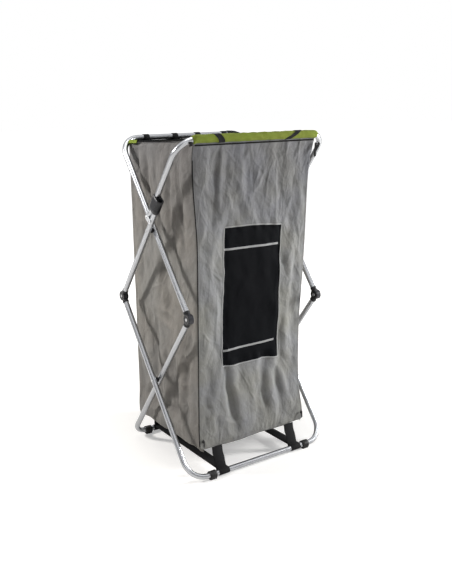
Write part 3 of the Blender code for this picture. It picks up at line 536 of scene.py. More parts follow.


# Height tables below are painted shade near the top and hem; creases sets the painted crease shade.
SIDE_CLOTH = cloth(
    "grey_side_cloth", (0.218, 0.212, 0.201), (0.216, 0.203, 0.186),
    patches=0.26, creases=0.30, packed=0.0022,
    painted_shade=((0.08, 0.80, 1.0), (0.32, 0.88, 1.0), (0.60, 1.0, 0.98), (0.85, 0.90, 1.0), (1.09, 0.70, 1.04)))
FRONT_CLOTH = cloth(
    "grey_front_cloth", (0.238, 0.242, 0.252), (0.240, 0.239, 0.222),
    patches=0.22, creases=0.26, packed=0.0018,
    painted_shade=((0.10, 0.85, 1.0), (0.32, 0.90, 1.0), (0.50, 1.03, 0.98), (0.75, 1.02, 1.0), (0.90, 0.78, 1.03),
          (1.09, 0.68, 1.06)))
GREEN_CLOTH = cloth("green_sleeve_cloth", (0.170, 0.226, 0.026), (0.183, 0.218, 0.030), patches=0.12)
LINING_CLOTH = cloth("black_lining_cloth", (0.007, 0.007, 0.008), (0.010, 0.010, 0.009), sheen=0.0,
                     specular=0.08)
SHELF_CLOTH = cloth("shelf_cloth_finish", (0.060, 0.062, 0.065), (0.066, 0.064, 0.062))
# Opaque, near-black net: the dark inside seen through its holes is painted into it as shade.
NET_AND_SHADE_CLOTH = cloth("black_net_and_inside_shade", (0.0022, 0.0026, 0.0036), (0.003, 0.0035, 0.0046), 0.0016, 0.80, 0.1, 0.1, 0.0,
                  2.0, 0.06)
TAPE_CLOTH = cloth("reflective_piping", (0.330, 0.335, 0.340), (0.300, 0.300, 0.300), 0.0008, 0.60)
EDGE_CLOTH = cloth("window_edge_cloth", (0.330, 0.335, 0.338), (0.320, 0.320, 0.310), 0.0008, 0.80, 0.1, 0.1)
WEBBING = webbing("black_webbing_finish", (0.0045, 0.0045, 0.005), (0.012, 0.012, 0.013))
ZIP_TAPE = webbing("zip_tape_finish", (0.006, 0.006, 0.006), (0.012, 0.012, 0.012))
THREAD = webbing("sewing_thread", (0.070, 0.068, 0.064), (0.120, 0.116, 0.110))
print("cloth finishes ready")

# %% [markdown]
# ## Tubes that follow a path
# Every tube on the frame is the same section swept along a different line, so one Geometry Nodes
# tree makes them all: it turns a line of points into a curve, sweeps a circle along it, and stores
# how far along and how far round each point lies, for the die lines of the metal. A Solidify
# modifier then gives the skin its wall, so the open ends at the lock joints show real thickness.
# The result is kept as a plain mesh.

# %% Geometry Nodes: a tube along a path
def grow_group(name, inputs):
    """A Geometry Nodes tree that takes a mesh and named inputs, and gives a mesh."""
    return new_group(name, "GeometryNodeTree", [("Base", "Geometry"), *inputs], [("Mesh", "Geometry")])


def finish_group(tree, out, geometry, material):
    """End a tree in Realize Instances and Set Material."""
    real = add_node(tree, "GeometryNodeRealizeInstances", {"Geometry": geometry}).outputs[0]
    painted = add_node(tree, "GeometryNodeSetMaterial", {"Geometry": real, "Material": material}).outputs[0]
    give(tree, out, {"Mesh": painted})


def captured(tree, geometry, kind, value):
    """Store a value on geometry inside the tree: the geometry and the stored value."""
    node = add_node(tree, "GeometryNodeCaptureAttribute")
    node.capture_items.new(kind, "Kept")
    give(tree, node, {0: geometry, 1: value})
    return node.outputs


def build_tube():
    """Sweep a circle along the curve. "grain" keeps each point's place on the circle and its way along."""
    tree, given, out = grow_group("tube_along_path", [
        ("Radius", "Float", TUBE_RADIUS), ("Sides", "Int", 32), ("Finish", "Material")])
    curve = add_node(tree, "GeometryNodeMeshToCurve", {"Mesh": given["Base"]}).outputs[0]
    along = captured(tree, curve, "FLOAT", add_node(tree, "GeometryNodeSplineParameter").outputs["Length"])
    ring = add_node(tree, "GeometryNodeCurvePrimitiveCircle", {
        "Resolution": given["Sides"], "Radius": given["Radius"]}).outputs["Curve"]
    around = captured(tree, ring, "VECTOR", add_node(tree, "GeometryNodeInputPosition").outputs[0])
    skin = add_node(tree, "GeometryNodeCurveToMesh", {
        "Curve": along[0], "Profile Curve": around[0]}).outputs["Mesh"]
    flat = add_node(tree, "ShaderNodeSeparateXYZ", {0: around[1]}).outputs
    grain = add_node(tree, "ShaderNodeCombineXYZ", {"X": flat["X"], "Y": flat["Y"], "Z": along[1]})
    stored = add_node(tree, "GeometryNodeStoreNamedAttribute", {
        "Geometry": skin, "Name": "grain", "Value": grain.outputs[0]}, data_type="FLOAT_VECTOR")
    smooth = add_node(tree, "GeometryNodeSetShadeSmooth", {"Geometry": stored.outputs[0]}).outputs[0]
    finish_group(tree, out, smooth, given["Finish"])
    return tree


def line_mesh(points, vectors=None):
    """A line of points as a mesh. Extra vectors are stored on the points as "facing"."""
    mesh = bpy.data.meshes.new("line")
    edges = [] if vectors else [(i, i + 1) for i in range(len(points) - 1)]
    mesh.from_pydata([tuple(p) for p in points], edges, [])
    if vectors:
        facing = mesh.attributes.new("facing", "FLOAT_VECTOR", "POINT")
        facing.data.foreach_set("vector", [x for v in vectors for x in v])
    return mesh


def evaluated_mesh(thing):
    """The mesh that an object's modifiers make. The object is removed."""
    graph = bpy.context.evaluated_depsgraph_get()
    mesh = bpy.data.meshes.new_from_object(thing.evaluated_get(graph))
    bpy.data.objects.remove(thing)
    return mesh


def grown(base, tree, wall=0.0, **values):
    """Run a tree on a base mesh and give back the plain mesh that it makes."""
    helper = new_object("helper", base)
    modifier = helper.modifiers.new("grow", "NODES")
    modifier.node_group = tree
    for item in tree.interface.items_tree:
        if item.in_out == "INPUT" and item.name in values:
            modifier[item.identifier] = values[item.name]
    if wall:
        skin = helper.modifiers.new("wall", "SOLIDIFY")
        skin.thickness, skin.offset, skin.use_even_offset = wall, -1.0, True
    return evaluated_mesh(helper)


def mesh_volume(mesh):
    """The signed volume, which is above zero when a closed mesh faces outward."""
    bm = bmesh.new()
    bm.from_mesh(mesh)
    volume = bm.calc_volume(signed=True)
    bm.free()
    return volume


def show(name, mesh, body, nodes=(), material=None, sharp=35):
    """Make a piece of a finished mesh: name it, let it ride on its body, and hide the CAD parts it replaces.
    """
    mesh.name = name
    if material:
        mesh.materials.clear()
        mesh.materials.append(material)
    mesh.shade_smooth()
    if sharp:
        mesh.set_sharp_from_angle(angle=math.radians(sharp))
    piece = new_object(name, mesh)
    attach(piece, body)
    if nodes:
        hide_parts(*nodes)
    return piece


TUBE_TREE = build_tube()
trial = grown(line_mesh([(0, 0, 0), (0, 0, 1)]), TUBE_TREE, TUBE_WALL, Finish=TUBE_FINISH)
print("a metre of tube:", len(trial.polygons), "faces,", round(1e6 * mesh_volume(trial), 1), "cm3")

# %% [markdown]
# ## The frame's tubes
# A bow is one tube bent twice, up one side, across and down the other. A leg is bent once and meets
# the floor rail at a plug joint. The bends are true arcs here, with a point every few degrees, so
# the highlights run smoothly where the CAD has facets.

# %% Tubes
BEND_POINTS = 14


def bend(corner_x, corner_z, start, end):
    """Points of a bend in the bar's own XZ plane."""
    angles = [start + (end - start) * step / BEND_POINTS for step in range(BEND_POINTS + 1)]
    return [(corner_x + BEND_RADIUS * math.cos(a), 0.0, corner_z + BEND_RADIUS * math.sin(a)) for a in angles]


def mirrored(points, side=-1):
    """The same points on the other hand, or on the same one when side is 1."""
    return [(side * x, y, z) for x, y, z in points]


def bow_path(half_width, low, high):
    """Up the right of a bow, across its top and down its left."""
    right_half = [(half_width, 0, low), *bend(half_width - BEND_RADIUS, high - BEND_RADIUS, 0, math.pi / 2)]
    return right_half + mirrored(right_half)[::-1]


def leg_path(half_width, top, bottom):
    """Down a right leg and along the floor to the rail's joint."""
    arc = bend(half_width - BEND_RADIUS, bottom + BEND_RADIUS, 0, -math.pi / 2)
    return [(half_width, 0, top), *arc, (RAIL_JOINT_X, 0, bottom)]


def tube_piece(name, path, place, body, node):
    """A tube that stands for one CAD node. Its path is given in its bar's own frame."""
    points = [place @ Vector(p) for p in path]
    mesh = grown(line_mesh(points), TUBE_TREE, TUBE_WALL, Finish=TUBE_FINISH)
    if mesh_volume(mesh) < 0:
        mesh.flip_normals()
    return show(name, mesh, body, [node])


elbow_end = TUBE_START - ELBOW_REACH
tube_piece("front_bow_tube", bow_path(OUTER_PLANE, -BOW_OFFSET / 2, ARM_REACH - LOCK_REACH), FRONT_BOW,
           "front_top_bow", "front_bow")
tube_piece("rear_bow_tube", bow_path(INNER_PLANE, elbow_end, ARM_REACH), REAR_BOW, "rear_top_bow", "rear_bow")
for word, place, plane in (("front", FRONT_LEG, OUTER_PLANE), ("rear", REAR_LEG, INNER_PLANE)):
    body = f"{word}_floor_bow"
    for side, hand in SIDES:
        path = mirrored(leg_path(plane, -elbow_end, -ARM_REACH), side)
        tube_piece(f"{word}_{hand}_leg_tube", path, place, body, f"{word}_{hand}_leg")
    half = RAIL_JOINT_X - 0.0003
    rail = [(-half, 0, -ARM_REACH), (half, 0, -ARM_REACH)]
    tube_piece(f"{word}_floor_rail_tube", rail, place, body, f"{word}_floor_rail")
for side, hand in SIDES:
    path = [(side * OUTER_PLANE, 0, elbow_end), (side * OUTER_PLANE, 0, STRUT_TOP_REACH)]
    tube_piece(f"{hand}_strut_tube", path, STRUT, "front_struts", f"{hand}_strut")

# %% [markdown]
# ## Cloth as a fine grid
# The case is a bag of thin woven cloth that hangs from the top rails. It is cut wider than its frame,
# so it buckles into long folds, and it has been packed flat, so it is also full of small creases.
# The long folds come from a cloth simulation of a flat wall whose edges are drawn in. Only how far
# each point stands out is kept from it, so the wall's outline stays where the photograph has it. The
# creases are added by code on a finer grid: ridges along strokes, some listed one by one and some
# scattered with a fixed seed. The grid keeps a crease value for the material, which paints shade
# into the valleys and light onto the ridges.

# %% Cloth: strokes, scattered creases and crumple
CELL = 0.0042
CLOTH_WALL = 0.0013
CREASE_SHADE_REACH = 5
CREASE_SHADE_DEPTH = 0.0028


def stroke_field(u, v, strokes):
    """Ridges along strokes. A stroke is its width, how sharp it is, and points (u, v, height).

    One flank of a ridge is steep and the other runs out gently, as in creased cloth.
    """
    total = np.zeros_like(u)
    for width, power, *points in strokes:
        best = np.full_like(u, 1e9)
        height = np.zeros_like(u)
        flank = np.ones_like(u)
        for (u0, v0, h0), (u1, v1, h1) in zip(points, points[1:]):
            du, dv = u1 - u0, v1 - v0
            share = np.clip(((u - u0) * du + (v - v0) * dv) / (du * du + dv * dv), 0, 1)
            away = np.hypot(u - u0 - share * du, v - v0 - share * dv)
            closer = away < best
            best = np.where(closer, away, best)
            height = np.where(closer, h0 + (h1 - h0) * share, height)
            turned = (u - u0) * dv - (v - v0) * du
            flank = np.where(closer, 1.6 + 0.9 * np.tanh(turned / width), flank)
        total += height * np.exp(-((best / (width * flank)) ** power))
    return total


def in_metres(strokes):
    """Strokes that were written down in millimetres."""
    return [(width / 1000, power, *(tuple(x / 1000 for x in point) for point in points))
            for width, power, *points in strokes]


def scattered(seed, count, box, lengths, widths, heights, lean=0.0, spread=0.25, power=1.3):
    """Seeded creases that run mostly down a wall. Each bends once, and fades at both ends."""
    rng = np.random.default_rng(seed)
    strokes = []
    for _ in range(count):
        u, v = rng.uniform(box[0], box[1]), rng.uniform(box[2], box[3])
        angle = rng.normal(lean, spread)
        length = rng.uniform(*lengths)
        kink = rng.normal(0, 0.12) * length
        height = rng.uniform(*heights) * rng.choice((-1.0, 1.0, 1.0))
        length *= rng.choice((-1, 1))
        sine, cosine = math.sin(angle), math.cos(angle)
        du, dv = 0.5 * length * sine, 0.5 * length * cosine
        strokes.append((rng.uniform(*widths), power, (u - du, v - dv, 0.0),
                        (u + kink * cosine, v - kink * sine, height), (u + du, v + dv, 0.0)))
    return strokes


def lattice(u, v, cell_u, cell_v, seed):
    """Smooth noise from 0 to 1, on a lattice that may be stretched."""
    rng = np.random.default_rng(seed)
    table = rng.random((257, 257))
    x, y = u / cell_u + 64, v / cell_v + 64
    i, j = np.floor(x).astype(int), np.floor(y).astype(int)
    s, t = x - i, y - j
    s, t = s * s * (3 - 2 * s), t * t * (3 - 2 * t)
    i, j = i % 256, j % 256
    low = table[i, j] * (1 - s) + table[i + 1, j] * s
    high = table[i, j + 1] * (1 - s) + table[i + 1, j + 1] * s
    return low * (1 - t) + high * t


def crumple(u, v, seed, size=0.030, stretch=1.8):
    """The all-over wrinkling of packed cloth: thin ridges between shallow facets."""
    bent = 0.6 * size * (lattice(u, v, 2 * size, 2 * size, seed) - 0.5)
    total = np.zeros_like(u)
    for octave, share in ((1.0, 0.55), (0.55, 0.30), (0.30, 0.15)):
        value = lattice(u + bent, v - bent, size * octave, stretch * size * octave, seed + int(10 * octave))
        total += share * (1 - np.abs(2 * value - 1))
    return total


def padded_along(field, axis, reach):
    """A grid with its edge values repeated past both ends of one axis."""
    return np.pad(field, [(reach, reach) if a == axis else (0, 0) for a in (0, 1)], mode="edge")


def blurred(field, reach):
    """A field averaged over its neighbours, twice, which gives a soft bell."""
    for _ in range(2):
        for axis in (0, 1):
            padded = padded_along(field, axis, reach)
            steps = np.cumsum(padded, axis=axis)
            size = field.shape[axis]
            first = np.take(steps, range(2 * reach, 2 * reach + size), axis=axis)
            last = np.concatenate([np.zeros_like(np.take(steps, [0], axis=axis)),
                                   np.take(steps, range(size - 1), axis=axis)], axis=axis)
            field = (first - last) / (2 * reach + 1)
    return field


def eased(heights, table):
    """Values from a table of (height, value) rows, rounded off between its rows."""
    z, x = zip(*sorted(table))
    shifts = np.linspace(-0.05, 0.05, 11)
    return sum(np.interp(heights + shift, z, x) for shift in shifts) / len(shifts)


# %% Cloth: from a grid to a piece
def grid_quads(shape):
    """The numbers of a grid's points, and the four corners of each of its cells."""
    index = np.arange(shape[0] * shape[1]).reshape(shape)
    return index, np.stack([index[:-1, :-1], index[:-1, 1:], index[1:, 1:], index[1:, :-1]], axis=-1)


def grid_mesh(points, u, v, mask, facing, keep=None):
    """A mesh of a grid of points, with UVs in metres and the crease mask for painted shade."""
    quads = grid_quads(u.shape)[1]
    quads = quads[keep] if keep is not None else quads.reshape(-1, 4)
    used, renumbered = np.unique(quads, return_inverse=True)
    renumbered = renumbered.reshape(quads.shape)
    mesh = bpy.data.meshes.new("cloth")
    mesh.from_pydata(points.reshape(-1, 3)[used].tolist(), [], renumbered.tolist())
    uv = np.stack([u, v], axis=-1).reshape(-1, 2)[used]
    layer = mesh.uv_layers.new(name="UVMap")
    layer.data.foreach_set("uv", uv[renumbered.ravel()].ravel())
    crease = mesh.attributes.new("crease", "FLOAT", "POINT")
    crease.data.foreach_set("value", mask.reshape(-1)[used])
    outward = sum((p.normal * p.area for p in mesh.polygons), Vector()).dot(Vector(facing))
    if outward < 0:
        mesh.flip_normals()
    return mesh


def crease_shade_mask(push):
    """How far each point stands out from the cloth around it: a mask about one half, for painted shade."""
    return np.clip(0.5 + 0.5 * (push - blurred(push, CREASE_SHADE_REACH)) / CREASE_SHADE_DEPTH, 0, 1)


def shell(piece, thickness=CLOTH_WALL):
    """Give a sheet its thickness. Its rims are kept sharp, so the cloth's edges read as cut edges."""
    wall = piece.modifiers.new("thickness", "SOLIDIFY")
    wall.thickness, wall.offset, wall.use_even_offset = thickness, -1.0, False
    bpy.context.view_layer.update()
    graph = bpy.context.evaluated_depsgraph_get()
    thick = bpy.data.meshes.new_from_object(piece.evaluated_get(graph))
    piece.modifiers.clear()
    piece.data = thick
    thick.name = piece.name
    thick.set_sharp_from_angle(angle=math.radians(62))
    return piece


def crumple_flat(piece):
    """Give a piece its own copy of its mesh."""
    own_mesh(piece)


def grid_size(points):
    """The mean length of a grid's rows and of its columns: the size that its cloth was cut to."""
    across = np.linalg.norm(np.diff(points, axis=1), axis=-1).sum(axis=1).mean()
    along = np.linalg.norm(np.diff(points, axis=0), axis=-1).sum(axis=0).mean()
    return round(float(across), 3), round(float(along), 3)


SHEETS = {}


def declare(piece, size, held, rests_on, **more):
    """Note that a piece is a sheet of cloth, cut to a size."""
    SHEETS[piece.name] = {"size": size, "held": held, "rests_on": rests_on, "trims": [], **more}


def trim(sheet, *pieces):
    """Bindings, seams and tapes too narrow to be sheets of their own go with the sheet that they are on."""
    SHEETS[sheet.name]["trims"] += pieces


def even_grid(start, columns, rows):
    """Shares across a wall from start to 1, and shares up it from 0 to 1."""
    return np.meshgrid(np.linspace(start, 1, columns), np.linspace(0, 1, rows))


def cloth_piece(name, points, u, v, push, facing, look, keep=None, thickness=CLOTH_WALL, held=None,
                rests_on=()):
    """One piece of cloth from a grid of points. look is its body, slot, CAD node and finish.

    It is declared as a sheet here when the way that it is held is given.
    """
    body, slot, node, finish = look
    mesh = grid_mesh(points, u, v, crease_shade_mask(push), facing, keep)
    piece = shell(show(name, mesh, body, [node], finish, sharp=0), thickness)
    crumple_flat(piece)
    if held:
        declare(piece, grid_size(points), held, rests_on)
        print(name, len(piece.data.polygons), "faces, cut", SHEETS[name]["size"])
    return piece


# %% [markdown]
# ## Where the case's corners hang
# The case is not a true box. Its front is pulled forward to the sleeve at the top and drawn in at
# the waist, and its right corner hangs a little slacker than its left. A short table of heights and
# places for each corner, rounded off between its rows, is enough to carry all four walls.

# %% The case's corners
CASE_BOTTOM = 0.090
CASE_TOP = REAR_RAIL.z - 0.0257
DOOR_TOP = CASE_TOP - 0.026
FRONT_Y = FLOOR_RAIL_Y - 0.0363
REAR_Y = FLOOR_RAIL_Y + 0.0008
SLEEVE_RADIUS = 0.0132
HEADER_TOP = FRONT_RAIL.z - SLEEVE_RADIUS - 0.0011
LEFT_EDGE = [(1.110, -0.2380), (1.000, -0.2310), (0.946, -0.2270), (0.796, -0.2150), (0.613, -0.2165),
             (0.371, -0.2210), (0.119, -0.2285), (0.090, -0.2250)]
RIGHT_EDGE = [(1.110, 0.2420), (1.060, 0.2420), (0.959, 0.2360), (0.786, 0.2320), (0.631, 0.2240),
              (0.500, 0.2150), (0.232, 0.2110), (0.130, 0.2280), (0.090, 0.2270)]
REAR_CORNER = 0.231
CASE_WIDE = 0.46
LEAN_START = 0.93


def height_share(z):
    """A height as a share of the case, from 0 at its hem to 1 at its top."""
    return (z - CASE_BOTTOM) / (CASE_TOP - CASE_BOTTOM)


def front_place(x, z):
    """The front face's own depth, before its folds. It leans out to the sleeve at its top."""
    level = np.minimum(z, DOOR_TOP)
    plain = -FRONT_Y + 0.008 * np.sin(np.pi * height_share(level))
    lean = np.clip((z - LEAN_START) / (HEADER_TOP - LEAN_START), 0, 1) ** 3.5
    drawn = 0.008 * np.clip(x / 0.2, 0, 1) * np.exp(-(((z - 0.36) / 0.22) ** 2))
    return plain + (FRONT_RAIL.y - plain) * lean + drawn


print("case from", CASE_BOTTOM, "to", round(CASE_TOP, 4), "door top", round(DOOR_TOP, 4))

# %% [markdown]
# ## The side walls
# The left wall is the large warm grey surface behind the crossed bars. Long folds fan down from its
# top edge, thin bright creases cross them, and two nearly level pulls mark where the elbows press on
# it. Its placed strokes follow those. The picture hides the right wall, so that one gets the same
# simulated folds mirrored, with scattered strokes of its own on top.

# %% Side walls
SIDE_STROKES = in_metres([
    # Long folds from the top edge
    (12, 2, (385, 1095, 4), (360, 930, 5.5), (345, 760, 0)),
    (10, 2, (330, 1095, 4.5), (300, 960, 6), (285, 800, 1.5), (280, 690, 0)),
    (9, 2, (270, 1095, 3), (262, 980, 5), (235, 860, 0)),
    (13, 2, (205, 1095, 3), (185, 930, 6.5), (180, 760, 2), (170, 640, 0)),
    (11, 2, (120, 1095, 4.5), (115, 950, 6), (140, 800, 0)),
    (10, 2, (55, 1095, 3), (50, 900, 5), (60, 700, 0)),
    # Sharp bright creases
    (4.5, 1.2, (262, 1052, 1), (238, 1000, 4.2), (225, 960, 4), (215, 925, 0)),
    (4.5, 1.2, (170, 1000, 0), (140, 960, 3.6), (85, 935, 0)),
    (5, 1.2, (120, 930, 0), (75, 860, 4), (60, 800, 0)),
    (4.5, 1.2, (200, 880, 0), (165, 830, 3.6), (150, 760, 0)),
    # Pulls at the elbows
    (6, 1.4, (300, 560, 0), (190, 545, 4.5), (85, 520, 0)),
    (5.5, 1.4, (280, 525, 0), (180, 500, 4), (70, 480, 0)),
    (5, 1.3, (110, 440, 0), (60, 400, 4.2), (20, 445, 0)),
    (5, 1.3, (150, 330, 0), (90, 300, 3.5), (30, 330, 0)),
    # The lower half: fewer folds, and a slack band above the hem
    (16, 2, (330, 640, 0), (320, 480, 6), (335, 260, 0)),
    (14, 2, (240, 600, 0), (225, 400, 5.5), (240, 180, 0)),
    (15, 2, (130, 620, 0), (120, 420, 6), (100, 200, 0)),
    (9, 1.6, (400, 205, 0), (250, 185, -5), (60, 200, 0)),
    (9, 1.6, (380, 150, 0), (230, 140, 5), (40, 150, 0)),
    (7, 1.4, (300, 110, 0), (220, 125, 4), (120, 105, 0)),
])
SIDE_DEPTH = REAR_Y + FRONT_Y


def soft_limit(field, low, high):
    """Hold a push within two limits, without a hard edge."""
    return np.where(field > 0, high * np.tanh(field / high), low * np.tanh(field / low))


def held_at_edge(away):
    """A share that grows from an edge inward, since cloth that is sewn down keeps still there."""
    return np.clip(away / 0.022 + 0.05, 0, 1)


def facets(u, v, seed, box, size, stretch):
    """Packing creases: shallow bowls that meet in straight, sharp ridges. It runs from about 0 to 1."""
    rng = np.random.default_rng(seed)
    long = size * stretch
    count = int((box[1] - box[0] + 2 * size) * (box[3] - box[2] + 2 * long) / (size * long))
    lowest = np.full(u.shape, 1e9)
    for _ in range(count):
        at_u, at_v = rng.uniform(box[0] - size, box[1] + size), rng.uniform(box[2] - long, box[3] + long)
        slant, weight = rng.normal(0, 0.35), 0.5 * rng.random()
        du, dv = (u - at_u) / size, (v - at_v) / long
        lowest = np.minimum(lowest, (du + slant * dv) ** 2 + dv ** 2 + weight)
    return np.minimum(lowest, 1.2)


def wall_noise(u, v, seed, box, amount=1.0):
    """What every wall shares: sharp creases, shallow facets between them and a fine crumple."""
    creases = scattered(seed + 1, 70, box, (0.04, 0.20), (0.0045, 0.009), (0.0020, 0.0050), 0.0, 0.50, 1.0)
    field = stroke_field(u, v, creases)
    field += 0.0050 * (facets(u, v, seed + 3, box, 0.050, 2.0) - 0.6)
    field -= 0.0030 * (facets(u, v, seed + 4, box, 0.028, 1.5) - 0.6)
    return amount * field + 0.0012 * (crumple(u, v, seed + 2, 0.020, 1.3) - 0.5)


# %% Cloth: a simulated wall
SIM_CELL = 0.0065
SIM_FRAMES = 40
SPARE_DOWN = 0.014


def softened(table):
    """Average out the grid's own zigzag."""
    for axis in (0, 1):
        padded = padded_along(table, axis, 1)
        low, middle, high = (np.take(padded, range(k, k + table.shape[axis]), axis=axis) for k in (0, 1, 2))
        table = (low + 2 * middle + high) / 4
    return table


def hung_folds(wide, high, spare, bend, seed, guide):
    """How far a wall stands out, as a table, when cloth with some width to spare hangs in its frame.

    The cloth starts at its cut size. Its edges are drawn in to the frame while it hangs, so the
    spare width buckles. guide gives the first bulges, which the larger folds grow from.
    """
    columns, rows = round(wide / SIM_CELL) + 1, round(high / SIM_CELL) + 1
    u, v = np.meshgrid(np.linspace(0, wide, columns), np.linspace(0, high, rows))
    bulge = 0.012 * (lattice(u, v, 0.035, 0.12, seed) - 0.5)
    bulge += 0.006 * (lattice(u + 0.3 * v, v, 0.02, 0.05, seed + 1) - 0.5)
    rim = np.minimum(1, 2 * np.sin(np.pi * u / wide)) * np.minimum(1, 3 * np.sin(np.pi * v / high))
    bulge = (bulge + guide(u, v)) * np.clip(rim, 0, 1)
    index, quads = grid_quads(u.shape)
    mesh = bpy.data.meshes.new("wall")
    cut = np.stack([u * (1 + spare), bulge, v * (1 + SPARE_DOWN)], axis=-1).reshape(-1, 3)
    mesh.from_pydata(cut.tolist(), [], quads.reshape(-1, 4).tolist())
    wall = new_object("wall", mesh)
    wall.shape_key_add(name="cut")
    framed = wall.shape_key_add(name="framed")
    framed.data.foreach_set("co", np.stack([u, bulge, v], axis=-1).ravel())
    held = wall.vertex_groups.new(name="held")
    rims = np.unique(np.concatenate([index[0], index[-1], index[:, 0], index[:, -1]]))
    held.add([int(i) for i in rims], 1.0, "REPLACE")
    modifier = wall.modifiers.new("cloth", "CLOTH")
    settings = modifier.settings
    settings.vertex_group_mass = held.name
    settings.quality = 6
    settings.mass = 0.3 * SIM_CELL
    settings.tension_stiffness = settings.compression_stiffness = 15.0
    settings.shear_stiffness = 5.0
    settings.bending_stiffness = bend
    settings.air_damping = 2.0
    modifier.collision_settings.use_collision = False
    modifier.point_cache.frame_start, modifier.point_cache.frame_end = 1, SIM_FRAMES
    for step in range(1, SIM_FRAMES + 1):
        framed.value = min(1.0, (step - 1) / (0.6 * SIM_FRAMES - 1))
        bpy.context.scene.frame_set(step)
    settled = evaluated_mesh(wall)
    bpy.context.scene.frame_set(1)
    places = np.empty(3 * len(settled.vertices), dtype=np.float32)
    settled.vertices.foreach_get("co", places)
    return softened(places.reshape(rows, columns, 3)[..., 1].astype(float))


def folds_at(table, across, up):
    """Read a table of folds at shares across and up the wall, smoothly."""
    rows, columns = table.shape
    places = [np.clip(share, 0, 1) * (size - 1) for share, size in ((up, rows), (across, columns))]
    firsts = [np.floor(place).astype(int) for place in places]
    taps = []
    for place, first in zip(places, firsts):
        t = place - first
        taps.append(((-t ** 3 + 2 * t ** 2 - t) / 2, (3 * t ** 3 - 5 * t ** 2 + 2) / 2,
                     (-3 * t ** 3 + 4 * t ** 2 + t) / 2, (t ** 3 - t ** 2) / 2))
    total = np.zeros(np.broadcast(across, up).shape)
    for a in range(4):
        for b in range(4):
            i = np.clip(firsts[0] + a - 1, 0, rows - 1)
            j = np.clip(firsts[1] + b - 1, 0, columns - 1)
            total = total + taps[0][a] * taps[1][b] * table[i, j]
    return total


def side_top(across):
    """The top edge of a side wall. It runs from the sleeve to the rear rail, and sags a little."""
    return 1.1265 - 0.0190 * across - 0.004 * np.sin(np.pi * across)


def behind_sleeve(z):
    """The nearest that cloth behind the sleeve comes to the front, at each height."""
    return FRONT_RAIL.y + np.sqrt(np.maximum(0.0152 ** 2 - (z - FRONT_RAIL.z) ** 2, 0))


WALL_HIGH = 1.030
SIDE_FOLDS = hung_folds(SIDE_DEPTH, WALL_HIGH, 0.050, 0.8, 3,
                        lambda u, v: 0.9 * stroke_field(u, v + CASE_BOTTOM, SIDE_STROKES))
print("side folds:", SIDE_FOLDS.shape, "up to", round(float(np.abs(SIDE_FOLDS).max()), 4))


def side_fold_field(side, u, v, seed, strokes):
    """How far a side wall stands out: its simulated folds, its strokes and the fine creases."""
    share = np.clip(height_share(v), 0, 1)
    across = np.clip(u / SIDE_DEPTH, 0, 1)
    still = np.minimum(1, np.minimum(u, SIDE_DEPTH - u) / 0.020 + 0.15)
    billow = 0.0040 * np.sin(np.pi * across) * np.sin(np.pi * share) ** 0.5
    folds = folds_at(SIDE_FOLDS, across if side < 0 else 1 - across, (v - CASE_BOTTOM) / WALL_HIGH)
    field = billow + 1.35 * folds + stroke_field(u, v, strokes)
    field = field + wall_noise(u, v, seed, (0, SIDE_DEPTH, 0.09, 1.09))
    return soft_limit(field * still, -0.018, 0.0135)


def side_wall(side, hand, seed, strokes):
    """A side wall from its front corner to its rear edge. u runs backward from the front corner."""
    columns, rows = round(SIDE_DEPTH / CELL), round((CASE_TOP - CASE_BOTTOM) / CELL)
    across, up = even_grid(0, columns, rows)
    hem = 0.003 * np.sin(across * 9 + side) - 0.004 * np.exp(-across / 0.03)
    top = side_top(across) - CASE_TOP
    z = CASE_BOTTOM + hem * (1 - up) ** 4 + (CASE_TOP - CASE_BOTTOM) * up + top * up ** 12
    front_x = np.abs(eased(z, LEFT_EDGE if side < 0 else RIGHT_EDGE))
    start = front_place(side * front_x, np.minimum(z, HEADER_TOP)) + 0.0019
    start = np.where(z > HEADER_TOP - 0.003, np.maximum(start, behind_sleeve(z)), start)
    end = REAR_Y - 0.0015 + 0.008 * np.exp(-(((z - 0.13) / 0.05) ** 2))
    y = start + (end - start) * across
    u, v = SIDE_DEPTH * across, z
    push = side_fold_field(side, u, v, seed, strokes)
    corner = 0.006 * np.clip(1 - u / 0.010, 0, 1) ** 2
    over = 0.014 * np.clip((up - 0.985) / 0.015, 0, 1) ** 2
    turned = 0.010 * np.clip(1 - (z - CASE_BOTTOM) / 0.012, 0, 1) ** 2
    x = front_x + (REAR_CORNER - front_x) * across + push - corner - over - turned
    points = np.stack([side * x, y, z], axis=-1)
    cloth_piece(f"{hand}_side_cloth", points, u, v, push, (side, 0, 0),
                ("case", "grey_fabric", f"{hand}_side_wall", SIDE_CLOTH),
                held="hung", rests_on=["rear_bow", "front_sleeve"])


side_wall(-1, "left", 11, SIDE_STROKES)
side_wall(1, "right", 31, scattered(30, 26, (0, SIDE_DEPTH, 0.15, 1.08), (0.2, 0.45), (0.009, 0.016),
                                    (0.003, 0.006), 0.0, 0.12, 2.0))

# %% [markdown]
# ## The front: one field of folds for header, door and window
# The door closes on a zip down each side and hangs from a short header under the sleeve. Header,
# door and net were cut from one piece, so their folds run on from one to the next. One function
# gives the push of every point of the front, and the header, the door and the net each use it on
# their own part of the same grid. The grid's columns and rows are drawn onto the window's edges, so
# the opening has clean sides without any cutting.

